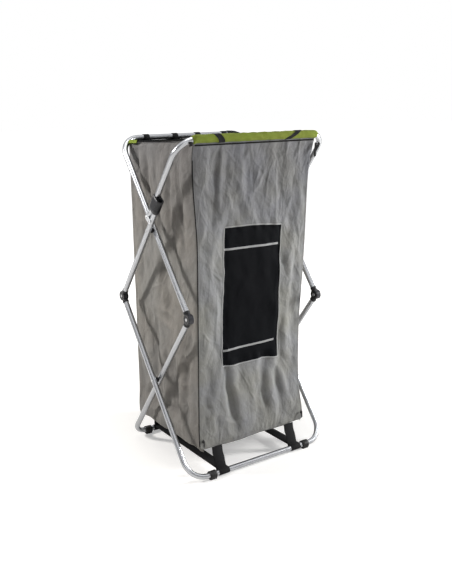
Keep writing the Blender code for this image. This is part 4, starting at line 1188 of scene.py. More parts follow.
# %% Front folds
FRONT_STROKES = in_metres([
    # Gathers that fan down from the sleeve
    (10, 2, (-185, 1112, 4), (-190, 980, 5.5), (-185, 850, 0)),
    (9, 2, (-125, 1112, 4), (-130, 1000, 6), (-140, 880, 0)),
    (8, 1.8, (-140, 1112, -4), (-147, 960, -8), (-158, 850, 0)),
    (10, 2, (-60, 1112, 4), (-45, 980, 5), (-40, 880, 0)),
    (9, 2, (0, 1112, 3), (15, 1000, 4.5), (40, 880, 0)),
    (10, 2, (70, 1112, 4), (85, 980, 5.5), (100, 870, 0)),
    (10, 2, (130, 1112, 3.5), (150, 960, 5.5), (160, 800, 0)),
    (9, 2, (185, 1112, 4), (200, 980, 5), (200, 850, 0)),
    # Sharp creases above the window
    (4.5, 1.2, (-100, 1060, 0), (-70, 1000, 4), (-20, 930, 0)),
    (4.5, 1.2, (60, 1050, 0), (30, 990, 3.8), (-30, 900, 0)),
    (4.5, 1.2, (110, 1020, 0), (125, 950, 4), (160, 880, 0)),
    # Beside the window
    (11, 2, (-165, 860, 0), (-170, 640, 5), (-180, 420, 0)),
    (10, 2, (165, 800, 0), (158, 620, 5), (150, 420, 0)),
    # Drape that fans out below the window's corners
    (12, 2, (-135, 375, 2), (-160, 270, 5), (-185, 130, 1)),
    (12, 1.6, (-129, 372, 1), (-122, 260, 7), (-110, 130, 2)),
    (11, 1.5, (-122, 372, -4), (-98, 270, -11), (-76, 170, -8), (-66, 115, 0)),
    (15, 1.6, (-92, 368, 0), (-64, 260, 8), (-40, 130, 3)),
    (12, 1.6, (-10, 362, 0), (-4, 250, 5), (6, 130, 0)),
    (12, 1.6, (45, 360, 0), (50, 250, -6), (62, 120, 0)),
    (12, 1.6, (70, 362, 0), (82, 260, 8), (100, 125, 2)),
    (10, 1.4, (96, 350, 0), (110, 260, -8), (138, 140, -3)),
    (10, 1.4, (108, 364, 3), (130, 290, 8.5), (165, 180, 5), (188, 115, 0)),
    (5, 1.3, (-160, 190, 0), (-80, 160, 3.5), (20, 175, 0)),
])
ZIP_GAP = 0.0026
WINDOW_HALF = 0.114
WINDOW_LOW, WINDOW_HIGH, WINDOW_TALL = 0.373, 0.838, 0.465
WINDOW_TOP = [(-WINDOW_HALF, 0.8405), (0.0, 0.8400), (WINDOW_HALF, 0.8300)]
WINDOW_BOTTOM = [(-WINDOW_HALF, 0.3740), (-0.05, 0.3690), (0.03, 0.3705), (WINDOW_HALF, 0.3610)]
FRONT_WIDE = 0.450
FRONT_FOLDS = hung_folds(FRONT_WIDE, WALL_HIGH, 0.045, 0.8, 8,
                         lambda u, v: 0.9 * stroke_field(u - FRONT_WIDE / 2, v + CASE_BOTTOM, FRONT_STROKES))
print("front folds:", FRONT_FOLDS.shape, "up to", round(float(np.abs(FRONT_FOLDS).max()), 4))


def front_push(x, z):
    """How far the front stands out at each place, forward. Its edges and the window's rim keep still."""
    left, right = eased(z, LEFT_EDGE), eased(z, RIGHT_EDGE)
    folds = folds_at(FRONT_FOLDS, (x - left) / (right - left), (z - CASE_BOTTOM) / WALL_HIGH)
    calmer = 1 - 0.5 * np.clip((z - 0.84) / 0.06, 0, 1)
    field = calmer * folds + (0.3 + 0.6 * calmer) * stroke_field(x, z, FRONT_STROKES)
    field = field + wall_noise(x, z, 51, (-0.22, 0.22, 0.09, 1.11), 0.8)
    still = held_at_edge(np.minimum(x - left, right - x))
    inside = np.minimum(np.minimum(0.10 - np.abs(x), z - 0.39), 0.82 - z)
    net_calm = 1 - 0.62 * np.clip(inside / 0.015 + 0.5, 0, 1)
    pinned = np.clip((HEADER_TOP - z) / 0.010, 0.25, 1)
    belly = 0.006 * np.exp(-(((z - 0.22) / 0.10) ** 2)) * np.cos(np.clip(x / 0.22, -1, 1) * np.pi / 2)
    return soft_limit((field * net_calm + belly) * still * pinned, -0.014, 0.0125)


def window_left(z):
    """The window's left edge at each height. Both of its edges lean to the right a little."""
    return -0.127 + 0.020 * (z - WINDOW_LOW) / WINDOW_TALL


def window_right(z):
    """The window's right edge at each height."""
    return 0.110 + 0.014 * (z - WINDOW_LOW) / WINDOW_TALL


def stations(*places):
    """The numbers of the cells that start at each place along a line."""
    counts = [max(2, round((b - a) / CELL)) for a, b in zip(places, places[1:])]
    return np.concatenate([[0], np.cumsum(counts)])


def spread(number, starts, edges):
    """Places of numbered points, spread evenly between four edges that start at given numbers."""
    place = np.zeros(number.shape)
    for part in range(3):
        share = np.clip((number - starts[part]) / (starts[part + 1] - starts[part]), 0, 1)
        place = np.where(number >= starts[part], edges[part] + (edges[part + 1] - edges[part]) * share, place)
    return place


def front_grid(low, high):
    """Points of the front, with columns and rows on the window's edges."""
    rough_edges = (-0.22, -WINDOW_HALF, WINDOW_HALF, 0.22)
    column, row = stations(*rough_edges), stations(low, WINDOW_LOW, WINDOW_HIGH, high)
    i, j = np.meshgrid(np.arange(column[3] + 1), np.arange(row[3] + 1))
    rough_x = np.interp(i, column, rough_edges)
    bottom, top = (np.interp(rough_x, *zip(*table)) for table in (WINDOW_BOTTOM, WINDOW_TOP))
    z = spread(j, row, [np.full(i.shape, low), bottom, top, np.full(i.shape, high)])
    x = spread(i, column, [eased(z, LEFT_EDGE) + ZIP_GAP, window_left(z), window_right(z),
                           eased(z, RIGHT_EDGE) - ZIP_GAP])
    return x, z, column, row


# %% Door, net and header
HEADER_LAP = 0.0018


def hem_drop(x, z):
    """The slack lower hem: it waves a little and rounds up at the corners."""
    away = np.clip((z - CASE_BOTTOM) / 0.10, 0, 1)
    corner = np.minimum(x - LEFT_EDGE[-1][1], RIGHT_EDGE[-1][1] - x)
    lifted = 0.012 * np.clip(1 - corner / 0.022, 0, 1) ** 2
    return (lifted + 0.0025 * np.sin(x * 30 + 1)) * (1 - away) ** 3


x, z, column, row = front_grid(CASE_BOTTOM, DOOR_TOP + 0.0015)
z = z + hem_drop(x, z)
push = front_push(x, z)
turned = 0.006 * np.clip(1 - (z - CASE_BOTTOM) / 0.010, 0, 1) ** 2
door_points = np.stack([x, front_place(x, z) - push + turned, z], axis=-1)
faces = np.ones((x.shape[0] - 1, x.shape[1] - 1), bool)
opening = np.zeros_like(faces)
opening[row[1]:row[2], column[1]:column[2]] = True
door_cloth = cloth_piece("door_cloth", door_points, x, z, push, (0, -1, 0),
                         ("door_flap", "grey_fabric", "door", FRONT_CLOTH), faces & ~opening)

NET_BEHIND = 0.0019
NET_WALL = 0.0006
wide = np.zeros_like(faces)
wide[row[1] - 2:row[2] + 2, column[1] - 2:column[2] + 2] = True
net_points = door_points + np.array((0, NET_BEHIND, 0))
window_net = cloth_piece("window_net", net_points, x, z, push, (0, -1, 0),
                         ("door_flap", "black_mesh", "mesh_window", NET_AND_SHADE_CLOTH), wide, NET_WALL)
print("door", len(door_cloth.data.polygons), "net", len(window_net.data.polygons), "faces")

header_rows = round((HEADER_TOP - DOOR_TOP) / CELL) + 3
share, up = even_grid(0, round(CASE_WIDE / CELL), header_rows)
header_low = DOOR_TOP - HEADER_LAP
z = header_low + (HEADER_TOP - header_low) * up
left, right = eased(z, LEFT_EDGE), eased(z, RIGHT_EDGE)
x = left + (right - left) * share
push = front_push(x, z)
tucked = 0.0016 * np.clip((DOOR_TOP + 0.002 - z) / 0.002, 0, 1)
header_points = np.stack([x, front_place(x, z) - push + tucked, z], axis=-1)
header_cloth = cloth_piece("header_cloth", header_points, x, z, push, (0, -1, 0),
                           ("case", "grey_fabric", "door_frame", FRONT_CLOTH),
                           held="gathered", rests_on=["front_sleeve"])

# %% [markdown]
# ## The rear wall and the roof
# The rear wall hangs from four loops on the rear bow, so its top edge rises to each loop and sags
# between them. The roof is a black lining that lies loosely between the walls, below their rims, so
# it shows only as a dark strip under the rear rail.

# %% Rear wall and roof
LOOP_X = (-0.165, -0.048, 0.048, 0.165)
LOOP_WIDTH = 0.022
RAIL_UNDER = REAR_RAIL.z - TUBE_RADIUS
ROOF_Z = 1.0940
ROOF_FRONT = -0.1955
ROOF_LONG = 0.43


def rear_top(x):
    """The rear edge of the case: drawn up at each loop, and sagging between them."""
    away = np.min([np.abs(x - loop) for loop in LOOP_X], axis=0)
    beside = np.maximum(away - LOOP_WIDTH / 2, 0)
    return RAIL_UNDER - 0.0008 - 0.0006 * (1 - np.exp(-((beside / 0.016) ** 1.5)))


def rear_half(z):
    """Half the width of the rear wall at each height."""
    return REAR_CORNER - 0.004 * np.sin(np.pi * np.clip(height_share(z), 0, 1))


across, up = even_grid(-1, round(CASE_WIDE / CELL), round((CASE_TOP - CASE_BOTTOM) / CELL))
rough = REAR_CORNER * across
z = CASE_BOTTOM + 0.002 * np.sin(14 * across) * (1 - up) ** 4 + (rear_top(rough) - CASE_BOTTOM) * up
x = across * rear_half(z)
REAR_STROKES = scattered(70, 22, (-0.2, 0.2, 0.2, 1.05), (0.25, 0.55), (0.010, 0.018), (0.003, 0.006),
                         0.0, 0.10, 2.0)
push = 0.6 * folds_at(FRONT_FOLDS, 0.5 - 0.5 * across, (z - CASE_BOTTOM) / WALL_HIGH)
push = push + 0.3 * stroke_field(x, z, REAR_STROKES) + wall_noise(x, z, 71, (-0.23, 0.23, 0.09, 1.09), 0.7)
push = soft_limit(push * held_at_edge(REAR_CORNER - np.abs(x)), -0.012, 0.009)
tidy_top = np.clip((rear_top(rough) - z) / 0.03, 0.15, 1)
rear_points = np.stack([x, REAR_Y + push * tidy_top, z], axis=-1)
rear_cloth = cloth_piece("rear_cloth", rear_points, x, z, push, (0, 1, 0),
                         ("case", "grey_fabric", "rear_wall", SIDE_CLOTH), held="hung", rests_on=["rear_bow"])

across, back = even_grid(-1, round(CASE_WIDE / CELL), round(ROOF_LONG / CELL))
x = across * (0.2330 - 0.0040 * back) + 0.002 * (1 - back)
y = ROOF_FRONT + (REAR_Y - 0.0016 - ROOF_FRONT) * back
slack = np.clip(3 * np.minimum(np.sin(np.pi * back), np.cos(np.pi / 2 * across)), 0, 1)
roof_push = wall_noise(x, y, 91, (-0.23, 0.23, -0.19, 0.23), 0.45) * slack
roof_z = ROOF_Z + roof_push - 0.003 * slack
roof_points = np.stack([x, y, roof_z], axis=-1)
cloth_piece("roof_cloth", roof_points, x, y, roof_push, (0, 0, 1),
            ("case", "black_webbing", "roof_panel", LINING_CLOTH),
            held="laid", rests_on=[rear_cloth.name, header_cloth.name])

# %% [markdown]
# ## Turned and moulded pieces
# Pins, spacers, discs and caps are round, so each is a profile spun about an axis: a few pairs of
# (distance along, radius), with the sharp corners replaced by small rounded ones. Pieces that are
# not round, such as the knuckles, join several spun bodies with exact booleans.

# %% Lathe, rounded corners and booleans
SPIN_STEPS = 48
AXES = {"X": Matrix.Rotation(math.pi / 2, 4, "Y"), "Z": Matrix.Identity(4)}


def rounded(profile, radius, steps=4):
    """A profile of (along, radius) pairs with its inner corners rounded off."""
    points = [Vector(p) for p in profile]
    result = [points[0]]
    for before, corner, after in zip(points, points[1:], points[2:]):
        reach = min(radius, (before - corner).length / 2.2, (after - corner).length / 2.2)
        start = corner + (before - corner).normalized() * reach
        end = corner + (after - corner).normalized() * reach
        for step in range(steps + 1):
            t = step / steps
            result.append(start * (1 - t) ** 2 + corner * 2 * t * (1 - t) + end * t * t)
    return [*result, points[-1]]


def outward_mesh(bm):
    """A mesh of a closed bmesh, with its faces turned outward."""
    bmesh.ops.recalc_face_normals(bm, faces=bm.faces)
    if bm.calc_volume(signed=True) < 0:
        bmesh.ops.reverse_faces(bm, faces=bm.faces)
    return kept_mesh(bm)


def kept_mesh(bm):
    """A bmesh's faces as a mesh. The bmesh is freed."""
    mesh = bpy.data.meshes.new("made")
    bm.to_mesh(mesh)
    bm.free()
    return mesh


def lofted(rings, closed=False):
    """A solid through rings of points. It closes on its first ring, or its ends are filled.

    A ring of one point is a pole.
    """
    bm = bmesh.new()
    rings = [[bm.verts.new(p) for p in ring] for ring in rings]
    steps = max(map(len, rings))
    for low, high in zip(rings, rings[1:] + rings[:1] if closed else rings[1:]):
        for s in range(steps):
            t = (s + 1) % steps
            corners = [low[s % len(low)], low[t % len(low)], high[t % len(high)], high[s % len(high)]]
            bm.faces.new(list(dict.fromkeys(corners)))
    for end in (rings[0], rings[-1]):
        if not closed and len(end) > 1:
            bm.faces.new(end)
    return outward_mesh(bm)


def circle(radius, steps, along=0.0):
    """A ring of points at a distance along Z. With no radius it is one point."""
    turns = (2 * math.pi * s / steps for s in range(steps if radius else 1))
    return [(radius * math.cos(t), radius * math.sin(t), along) for t in turns]


def lathe(profile, axis="X", place=Matrix.Identity(4), steps=SPIN_STEPS):
    """Spin a profile of (along, radius) about an axis. It is closed unless it starts on the axis."""
    mesh = lofted([circle(radius, steps, along) for along, radius in profile], profile[0][1] > 0)
    mesh.transform(place @ AXES[axis])
    return mesh


def rod(radius, half, axis="X", place=Matrix.Identity(4), steps=SPIN_STEPS):
    """A plain round rod or disc, from -half to half."""
    return lathe([(-half, 0), (-half, radius), (half, radius), (half, 0)], axis, place, steps)


def boolean(mesh, tool, operation="UNION"):
    """Join or cut with the exact solver."""
    base, other = (new_object("helper", m) for m in (mesh, tool))
    modifier = base.modifiers.new("join", "BOOLEAN")
    modifier.operation, modifier.solver, modifier.object = operation, "EXACT", other
    result = evaluated_mesh(base)
    bpy.data.objects.remove(other)
    return result


def joined(meshes):
    """Several separate bodies as one mesh."""
    bm = bmesh.new()
    for mesh in meshes:
        bm.from_mesh(mesh)
    return kept_mesh(bm)


def rounded_prism(outline, low, high, bevel, place=Matrix.Identity(4)):
    """A plate with a given outline in YZ, from low to high along X, with its rims bevelled."""
    middle = Vector([sum(p[axis] for p in outline) / len(outline) for axis in (0, 1)])
    aways = [Vector(p) - middle for p in outline]
    mesh = lofted([[(x, *(middle + away * (1 - inset / away.length))) for away in aways]
                   for x, inset in ((low, bevel), (low + bevel, 0.0), (high - bevel, 0.0), (high, bevel))])
    mesh.transform(place)
    return mesh


def moved(mesh, place):
    """A moved copy. A mirrored copy's faces are turned outward again."""
    copy = mesh.copy()
    copy.transform(place)
    if place.determinant() < 0:
        copy.flip_normals()
    return copy


disc = rod(0.017, 0.01)
print("a plain disc:", len(disc.polygons), "faces,", round(1e6 * mesh_volume(disc), 2), "cm3")

# %% [markdown]
# ## Elbow knuckles
# Each elbow is two black mouldings. The upper one has two cheeks, the lower one a tongue between
# them, and each ends in a socket that takes a tube. On the real piece the disc has a rounded rim, a
# shallow ring around the pin and a collar where the tube goes in. Spun bodies are joined, then the
# slot is cut, so the two halves turn in each other as the CAD's do.

# %% Knuckles
KNUCKLE_RADIUS = 0.017
KNUCKLE_HALF = 0.010
TONGUE_HALF = 0.0035
GAP = 0.0003
PIN_RADIUS = 0.0030
BEYOND = 0.03
PLATE_FACE = TUBE_RADIUS + GAP + 0.0016


def knuckle(pivot_y, toward, cheeks):
    """A knuckle half about its pivot. The socket runs toward +Z or -Z of the bar."""
    ring = [(-KNUCKLE_HALF, 0), (-KNUCKLE_HALF, 0.0072), (-KNUCKLE_HALF + 0.0007, 0.0080),
            (-KNUCKLE_HALF + 0.0007, 0.0118), (-KNUCKLE_HALF, 0.0126), (-KNUCKLE_HALF, KNUCKLE_RADIUS)]
    profile = ring + [(-x, r) for x, r in reversed(ring)]
    pivot = Matrix.Translation((0, pivot_y, 0))
    body = lathe(rounded(profile, 0.0012, 3), "X", pivot)
    socket = [(0.003, 0), (0.003, 0.0098), (0.0185, 0.0102), (0.0200, 0.0112), (0.0268, 0.0112), (0.0270, 0)]
    socket = lathe(rounded(socket, 0.0008, 3), "Z")
    if toward < 0:
        socket = moved(socket, Matrix.Rotation(math.pi, 4, "X"))
    body = boolean(body, socket)
    swing = KNUCKLE_RADIUS + GAP + 0.0004
    slot = TONGUE_HALF + GAP
    cutters = [(-slot, slot)] if cheeks else [(side * TONGUE_HALF, side * BEYOND) for side in (-1, 1)]
    for low, high in cutters:
        cutter = lathe([(low, 0), (low, swing), (high, swing), (high, 0)], "X", pivot)
        body = boolean(body, cutter, "DIFFERENCE")
    return boolean(body, rod(PIN_RADIUS + 0.0001, BEYOND, "X", pivot, 32), "DIFFERENCE")


KNUCKLES = (
    ("rear_elbow_upper", STRUT, OUTER_PLANE, -ELBOW_OFFSET, -ELBOW_REACH, 1, True, "front_struts"),
    ("rear_elbow_lower", FRONT_LEG, OUTER_PLANE, -ELBOW_OFFSET, ELBOW_REACH, -1, False, "front_floor_bow"),
    ("front_elbow_upper", REAR_BOW, INNER_PLANE, ELBOW_OFFSET, -ELBOW_REACH, 1, True, "rear_top_bow"),
    ("front_elbow_lower", REAR_LEG, INNER_PLANE, ELBOW_OFFSET, ELBOW_REACH, -1, False, "rear_floor_bow"),
)
for name, place, plane, pivot_y, reach, toward, cheeks, body in KNUCKLES:
    mesh = knuckle(pivot_y, toward, cheeks)
    for side, hand in SIDES:
        copy = moved(mesh, place @ Matrix.Translation((side * plane, 0, reach)))
        show(f"{hand}_{name}_knuckle", copy, body, [f"{hand}_{name}"],
             KNUCKLE_FINISH, sharp=50)
    print(name, len(mesh.polygons), "faces,", round(1e6 * mesh_volume(mesh), 2), "cm3")

# %% [markdown]
# ## Pins, rivets and spacers
# A pivot rivet is a shank with a low domed head at each end. The long pins through the elbows and
# the crossings are spun one by one, since each stands for its solid. The small rivets that hold
# the plugs and plates, and the snap buttons of the floor rails, repeat, so a Geometry Nodes tree
# sets a domed head on every given point and turns it to face the way the point says.

# %% Pivot rivets and spacers
def rivet_profile(half, radius, head_radius, head_height):
    """A shank from -half to half with a domed head at each end, as (along, radius)."""
    dome = [(half + head_height * math.cos(a), head_radius * math.sin(a))
            for a in np.linspace(0.001, math.pi / 2, 8)]
    top = [(half + head_height, 0.0), *dome[1:], (half, head_radius), (half, radius)]
    return [(-x, r) for x, r in top] + [(x, r) for x, r in reversed(top)]


def pins(name, body, material, profile, places, nodes):
    """One piece of several equal spun bodies on the same moving body."""
    meshes = [lathe(profile, "X", place, 32) for place in places]
    return show(name, joined(meshes), body, nodes, material, sharp=40)


def both_sides(place, plane, across, along):
    """The same spot of a bar on both hands, as matrices."""
    return [place @ Matrix.Translation((side * plane, across, along)) for side, _ in SIDES]


def hands(*names):
    """The CAD nodes of both hands for each name."""
    return [f"{hand}_{name}" for name in names for _, hand in SIDES]


elbow_pin = rivet_profile(KNUCKLE_HALF, PIN_RADIUS, 0.0052, 0.0014)
crossing_half = 0.0120 + TUBE_RADIUS
crossing_rivet = rivet_profile(crossing_half, 0.0026, 0.0052, 0.0014)
middle_plane = (OUTER_PLANE + INNER_PLANE) / 2
pins("rear_elbow_pins", "front_struts", RIVET_FINISH, elbow_pin,
     both_sides(STRUT, OUTER_PLANE, -ELBOW_OFFSET, -ELBOW_REACH), hands("rear_elbow_pin"))
pins("front_elbow_pins", "rear_top_bow", RIVET_FINISH, elbow_pin,
     both_sides(REAR_BOW, INNER_PLANE, ELBOW_OFFSET, -ELBOW_REACH), hands("front_elbow_pin"))
washer = rounded([(-0.0022, 0.0029), (-0.0022, 0.0095), (0.0022, 0.0095), (0.0022, 0.0029)], 0.0008)
for word, height, body in (
    ("upper", UPPER_CROSSING_Z, "upper_crossing"),
    ("lower", LOWER_CROSSING_Z, "front_floor_bow"),
):
    places = both_sides(Matrix.Translation((0, 0, height)), middle_plane, 0, 0)
    pins(f"{word}_crossing_rivets", body, RIVET_FINISH, crossing_rivet, places,
         hands(f"{word}_crossing_rivet"))
    pins(f"{word}_crossing_spacers", body, KNUCKLE_FINISH, washer, places,
         hands(f"{word}_crossing_spacer"))
for side, hand in SIDES:
    half = (TUBE_RADIUS + PLATE_FACE) / 2
    centre = side * (half - TUBE_RADIUS)
    place = STRUT @ Matrix.Translation((side * OUTER_PLANE + centre, BOW_OFFSET, LOCK_REACH))
    pins(f"{hand}_lock_joint_pin", "front_struts", RIVET_FINISH,
         rivet_profile(half, 0.0019, 0.0036, 0.0011), [place], [f"{hand}_lock_pin"])
print("pivot pins and spacers ready")


# %% Geometry Nodes: domed heads on points
def build_on_points(name, segments, rings):
    """Stretched balls on points, each turned to its point's "facing". The sizes are half of each ball."""
    tree, given, out = grow_group(name, [
        ("Across", "Float", 0.0036), ("Along", "Float", 0.0012), ("Finish", "Material")])
    facing = add_node(tree, "GeometryNodeInputNamedAttribute", {"Name": "facing"}, data_type="FLOAT_VECTOR")
    turn = add_node(tree, "FunctionNodeAlignRotationToVector", {"Vector": facing.outputs[0]}, axis="Z")
    ball = add_node(tree, "GeometryNodeMeshUVSphere", {"Segments": segments, "Rings": rings, "Radius": 1.0})
    size = add_node(tree, "ShaderNodeCombineXYZ", {
        "X": given["Across"], "Y": given["Across"], "Z": given["Along"]}).outputs[0]
    balls = add_node(tree, "GeometryNodeInstanceOnPoints", {
        "Points": given["Base"], "Instance": ball.outputs["Mesh"], "Rotation": turn.outputs[0],
        "Scale": size})
    finish_group(tree, out, balls.outputs[0], given["Finish"])
    return tree


HEAD_TREE = build_on_points("domed_heads", 24, 12)
PLUG_HOLE = SOCKET_REACH + 0.0125
RIVET_SEAT = 0.0002


def tube_heads(place, plane, along):
    """Both ends of a small rivet across each side's tube, as (point, facing)."""
    found = []
    for side, _ in SIDES:
        for end in (-1, 1):
            spot = place @ Vector((side * plane + end * (TUBE_RADIUS - RIVET_SEAT), 0, along))
            found.append((spot, Vector((end, 0, 0))))
    return found


def button_heads(place):
    """Snap buttons on the front of a floor rail's two joints."""
    ahead = place.to_3x3() @ Vector((0, -1, 0))
    spots = [place @ Vector((side * (RAIL_JOINT_X - 0.012), 0, -ARM_REACH)) for side, _ in SIDES]
    return [(spot + ahead * (TUBE_RADIUS - RIVET_SEAT), ahead) for spot in spots]


plate_heads = [(STRUT @ Vector((side * (OUTER_PLANE + end * (reach - RIVET_SEAT)), 0, LOCK_REACH)),
                Vector((side * end, 0, 0)))
               for end, reach in ((1, PLATE_FACE), (-1, TUBE_RADIUS)) for side, _ in SIDES]
for name, body, heads in (
    ("strut_rivets", "front_struts", tube_heads(STRUT, OUTER_PLANE, PLUG_HOLE - ELBOW_REACH) + plate_heads),
    ("rear_bow_rivets", "rear_top_bow", tube_heads(REAR_BOW, INNER_PLANE, PLUG_HOLE - ELBOW_REACH)),
    ("front_leg_rivets", "front_floor_bow",
     tube_heads(FRONT_LEG, OUTER_PLANE, ELBOW_REACH - PLUG_HOLE) + button_heads(FRONT_LEG)),
    ("rear_leg_rivets", "rear_floor_bow",
     tube_heads(REAR_LEG, INNER_PLANE, ELBOW_REACH - PLUG_HOLE) + button_heads(REAR_LEG)),
):
    spots, facings = zip(*heads)
    mesh = grown(line_mesh(spots, facings), HEAD_TREE, Finish=RIVET_FINISH)
    show(name, mesh, body)
    print(name, len(heads), "heads")

# %% [markdown]
# ## The lock joint: plates and collars
# Above the upper crossing, a bright steel plate ties the strut to the bow's end, and a black collar
# slides down over both tubes to lock them in line. The plate is a stadium with rolled edges. The
# collar is a long stadium tube with a pair of bores, chamfered mouths and grip ribs.

# %% Lock plates and collars
def stadium(radius, length, steps=20):
    """A stadium outline in YZ about (0, 0) and (length, 0), with straight flanks."""
    turns = np.linspace(math.pi / 2, 3 * math.pi / 2, steps)
    first = [(radius * math.cos(a), radius * math.sin(a)) for a in turns]
    return first + [(length - y, -z) for y, z in first]


plate_outline = stadium(0.0090, BOW_OFFSET)
for side, hand in SIDES:
    low, high = sorted((side * (TUBE_RADIUS + GAP), side * PLATE_FACE))
    place = STRUT @ Matrix.Translation((side * OUTER_PLANE, 0, LOCK_REACH))
    mesh = rounded_prism(plate_outline, low, high, 0.0004, place)
    show(f"{hand}_lock_joint_plate", mesh, "front_struts", [f"{hand}_lock_plate"],
         PLATE_FINISH)

COLLAR_LENGTH = 0.055
COLLAR_RADIUS = 0.0132
COLLAR_START = STRUT_TOP_REACH + 0.0015
FIRST_RIB = 0.0120
RIB_PITCH = 0.0042


def collar_mesh():
    """The collar about its strut bore, from z 0 to its length."""
    rows = [(0.0, -0.0010), (0.0012, 0.0)]
    for rib in range(7):
        low = FIRST_RIB + rib * RIB_PITCH
        rows += [(low, 0.0), (low + 0.0007, -0.0007), (low + 0.0021, -0.0007), (low + 0.0028, 0.0)]
    rows += [(COLLAR_LENGTH - 0.0012, 0.0), (COLLAR_LENGTH, -0.0010)]
    mesh = lofted([[(y, x, z) for x, y in stadium(COLLAR_RADIUS + grow, BOW_OFFSET, 24)] for z, grow in rows])
    bore = TUBE_RADIUS + 0.0004
    wide, past = bore + 0.0012, 0.01
    mouth = [(-past, 0), (-past, wide), (0.0, wide), (0.0016, bore), (COLLAR_LENGTH - 0.0016, bore),
             (COLLAR_LENGTH, wide), (COLLAR_LENGTH + past, wide), (COLLAR_LENGTH + past, 0)]
    for y in (0.0, BOW_OFFSET):
        mesh = boolean(mesh, lathe(mouth, "Z", Matrix.Translation((0, y, 0)), 40), "DIFFERENCE")
    return mesh


mesh = collar_mesh()
for side, hand in SIDES:
    copy = moved(mesh, STRUT @ Matrix.Translation((side * OUTER_PLANE, 0, COLLAR_START)))
    show(f"{hand}_lock_joint_collar", copy, f"{hand}_collar", [f"{hand}_lock_collar"],
         COLLAR_FINISH, sharp=40)
print("collar:", len(mesh.polygons), "faces,", round(1e6 * mesh_volume(mesh), 2), "cm3")

# %% [markdown]
# ## Rubber feet
# Each floor end of a leg has a black rubber ring, flat under its sole, with two grooves around it.
# The ring is lofted along the leg's own path, because the rear legs already start to bend inside
# their feet.

# %% Feet
FOOT_START = 0.189
FOOT_RADIUS = 0.0140
SOLE_HALF = 0.0098
FOOT_STEPS = 40


def foot_section(x, plane, place, swell):
    """One ring of the foot's outside and one of its bore, at a distance across the cupboard."""
    corner = plane - BEND_RADIUS
    rise = BEND_RADIUS - math.sqrt(BEND_RADIUS ** 2 - max(0.0, x - corner) ** 2)
    centre = place @ Vector((x, 0, -ARM_REACH + rise))
    floor_y = (place @ Vector((x, 0, -ARM_REACH))).y
    outer, inner = [], []
    for step in range(FOOT_STEPS):
        a = 2 * math.pi * step / FOOT_STEPS
        y, z = centre.y + swell * math.cos(a), centre.z + swell * math.sin(a)
        if math.sin(a) < 0:
            y = floor_y + max(-SOLE_HALF, min(SOLE_HALF, (y - floor_y) * 1.25)) if z < 0.006 else y
            z = max(z, 0.0) if z > 0.0035 else 0.0
        outer.append((x, y, max(z, 0.0)))
        bore = TUBE_RADIUS + 0.0002
        inner.append((x, centre.y + bore * math.cos(a), centre.z + bore * math.sin(a)))
    return outer, inner


def foot_mesh(plane, place):
    """A foot with rounded ends and two grooves around it, as rows of (along, extra radius)."""
    rows = [(0.0, -0.0010), (0.0010, 0.0)]
    for groove in (0.0056, 0.0144):
        rows += [(groove, 0.0), (groove + 0.0006, -0.0008), (groove + 0.0020, -0.0008),
                 (groove + 0.0026, 0.0)]
    rows += [(0.0250, 0.0), (0.0260, -0.0010)]
    sections = [foot_section(FOOT_START + along, plane, place, FOOT_RADIUS + grow) for along, grow in rows]
    outer, inner = zip(*sections)
    return lofted([*outer, *inner[::-1]], closed=True)


for word, place, plane in (("front", FRONT_LEG, OUTER_PLANE), ("rear", REAR_LEG, INNER_PLANE)):
    right_foot = foot_mesh(plane, place)
    for side, hand in SIDES:
        copy = moved(right_foot, Matrix.Scale(side, 4, (1, 0, 0)))
        show(f"{word}_{hand}_rubber_foot", copy, f"{word}_floor_bow", [f"{word}_{hand}_foot"],
             FOOT_FINISH, sharp=45)
print("feet:", len(right_foot.polygons), "faces each")

# %% [markdown]
# ## Ribbons, sleeves and stitches
# The soft fittings are all narrow things that follow a line: webbing straps, bindings, zip tapes and
# the green sleeve around the bow. A strap is a flat section carried along its line, with a direction
# of its own at each point, so it can turn around a rail. A sleeve is a grid wrapped around the bow,
# bends included. Stitches and zip teeth repeat along a seam, so a Geometry Nodes tree sets one small
# bead on each point and turns it along the way given.

# %% Straps
def solid(points, faces, uv):
    """A closed mesh with one UV pair in metres per point, turned to face outward."""
    mesh = bpy.data.meshes.new("solid")
    mesh.from_pydata(np.asarray(points, float).reshape(-1, 3).tolist(), [], faces)
    corners = np.empty(len(mesh.loops), dtype=np.int32)
    mesh.loops.foreach_get("vertex_index", corners)
    layer = mesh.uv_layers.new(name="UVMap")
    layer.data.foreach_set("uv", np.asarray(uv, float).reshape(-1, 2)[corners].ravel())
    crease = mesh.attributes.new("crease", "FLOAT", "POINT")
    crease.data.foreach_set("value", np.full(len(mesh.vertices), 0.5))
    bm = bmesh.new()
    bm.from_mesh(mesh)
    return outward_mesh(bm)


def distances(points):
    """How far along a line each of its points is."""
    steps = np.linalg.norm(np.diff(np.asarray(points, float), axis=0), axis=1)
    return np.concatenate([[0], np.cumsum(steps)])


def resampled(points, step):
    """The same line with points an even step apart."""
    p, along = np.asarray(points, float), distances(points)
    even = np.linspace(0, along[-1], max(3, round(along[-1] / step) + 1))
    return np.stack([np.interp(even, along, p[:, axis]) for axis in range(3)], axis=1)


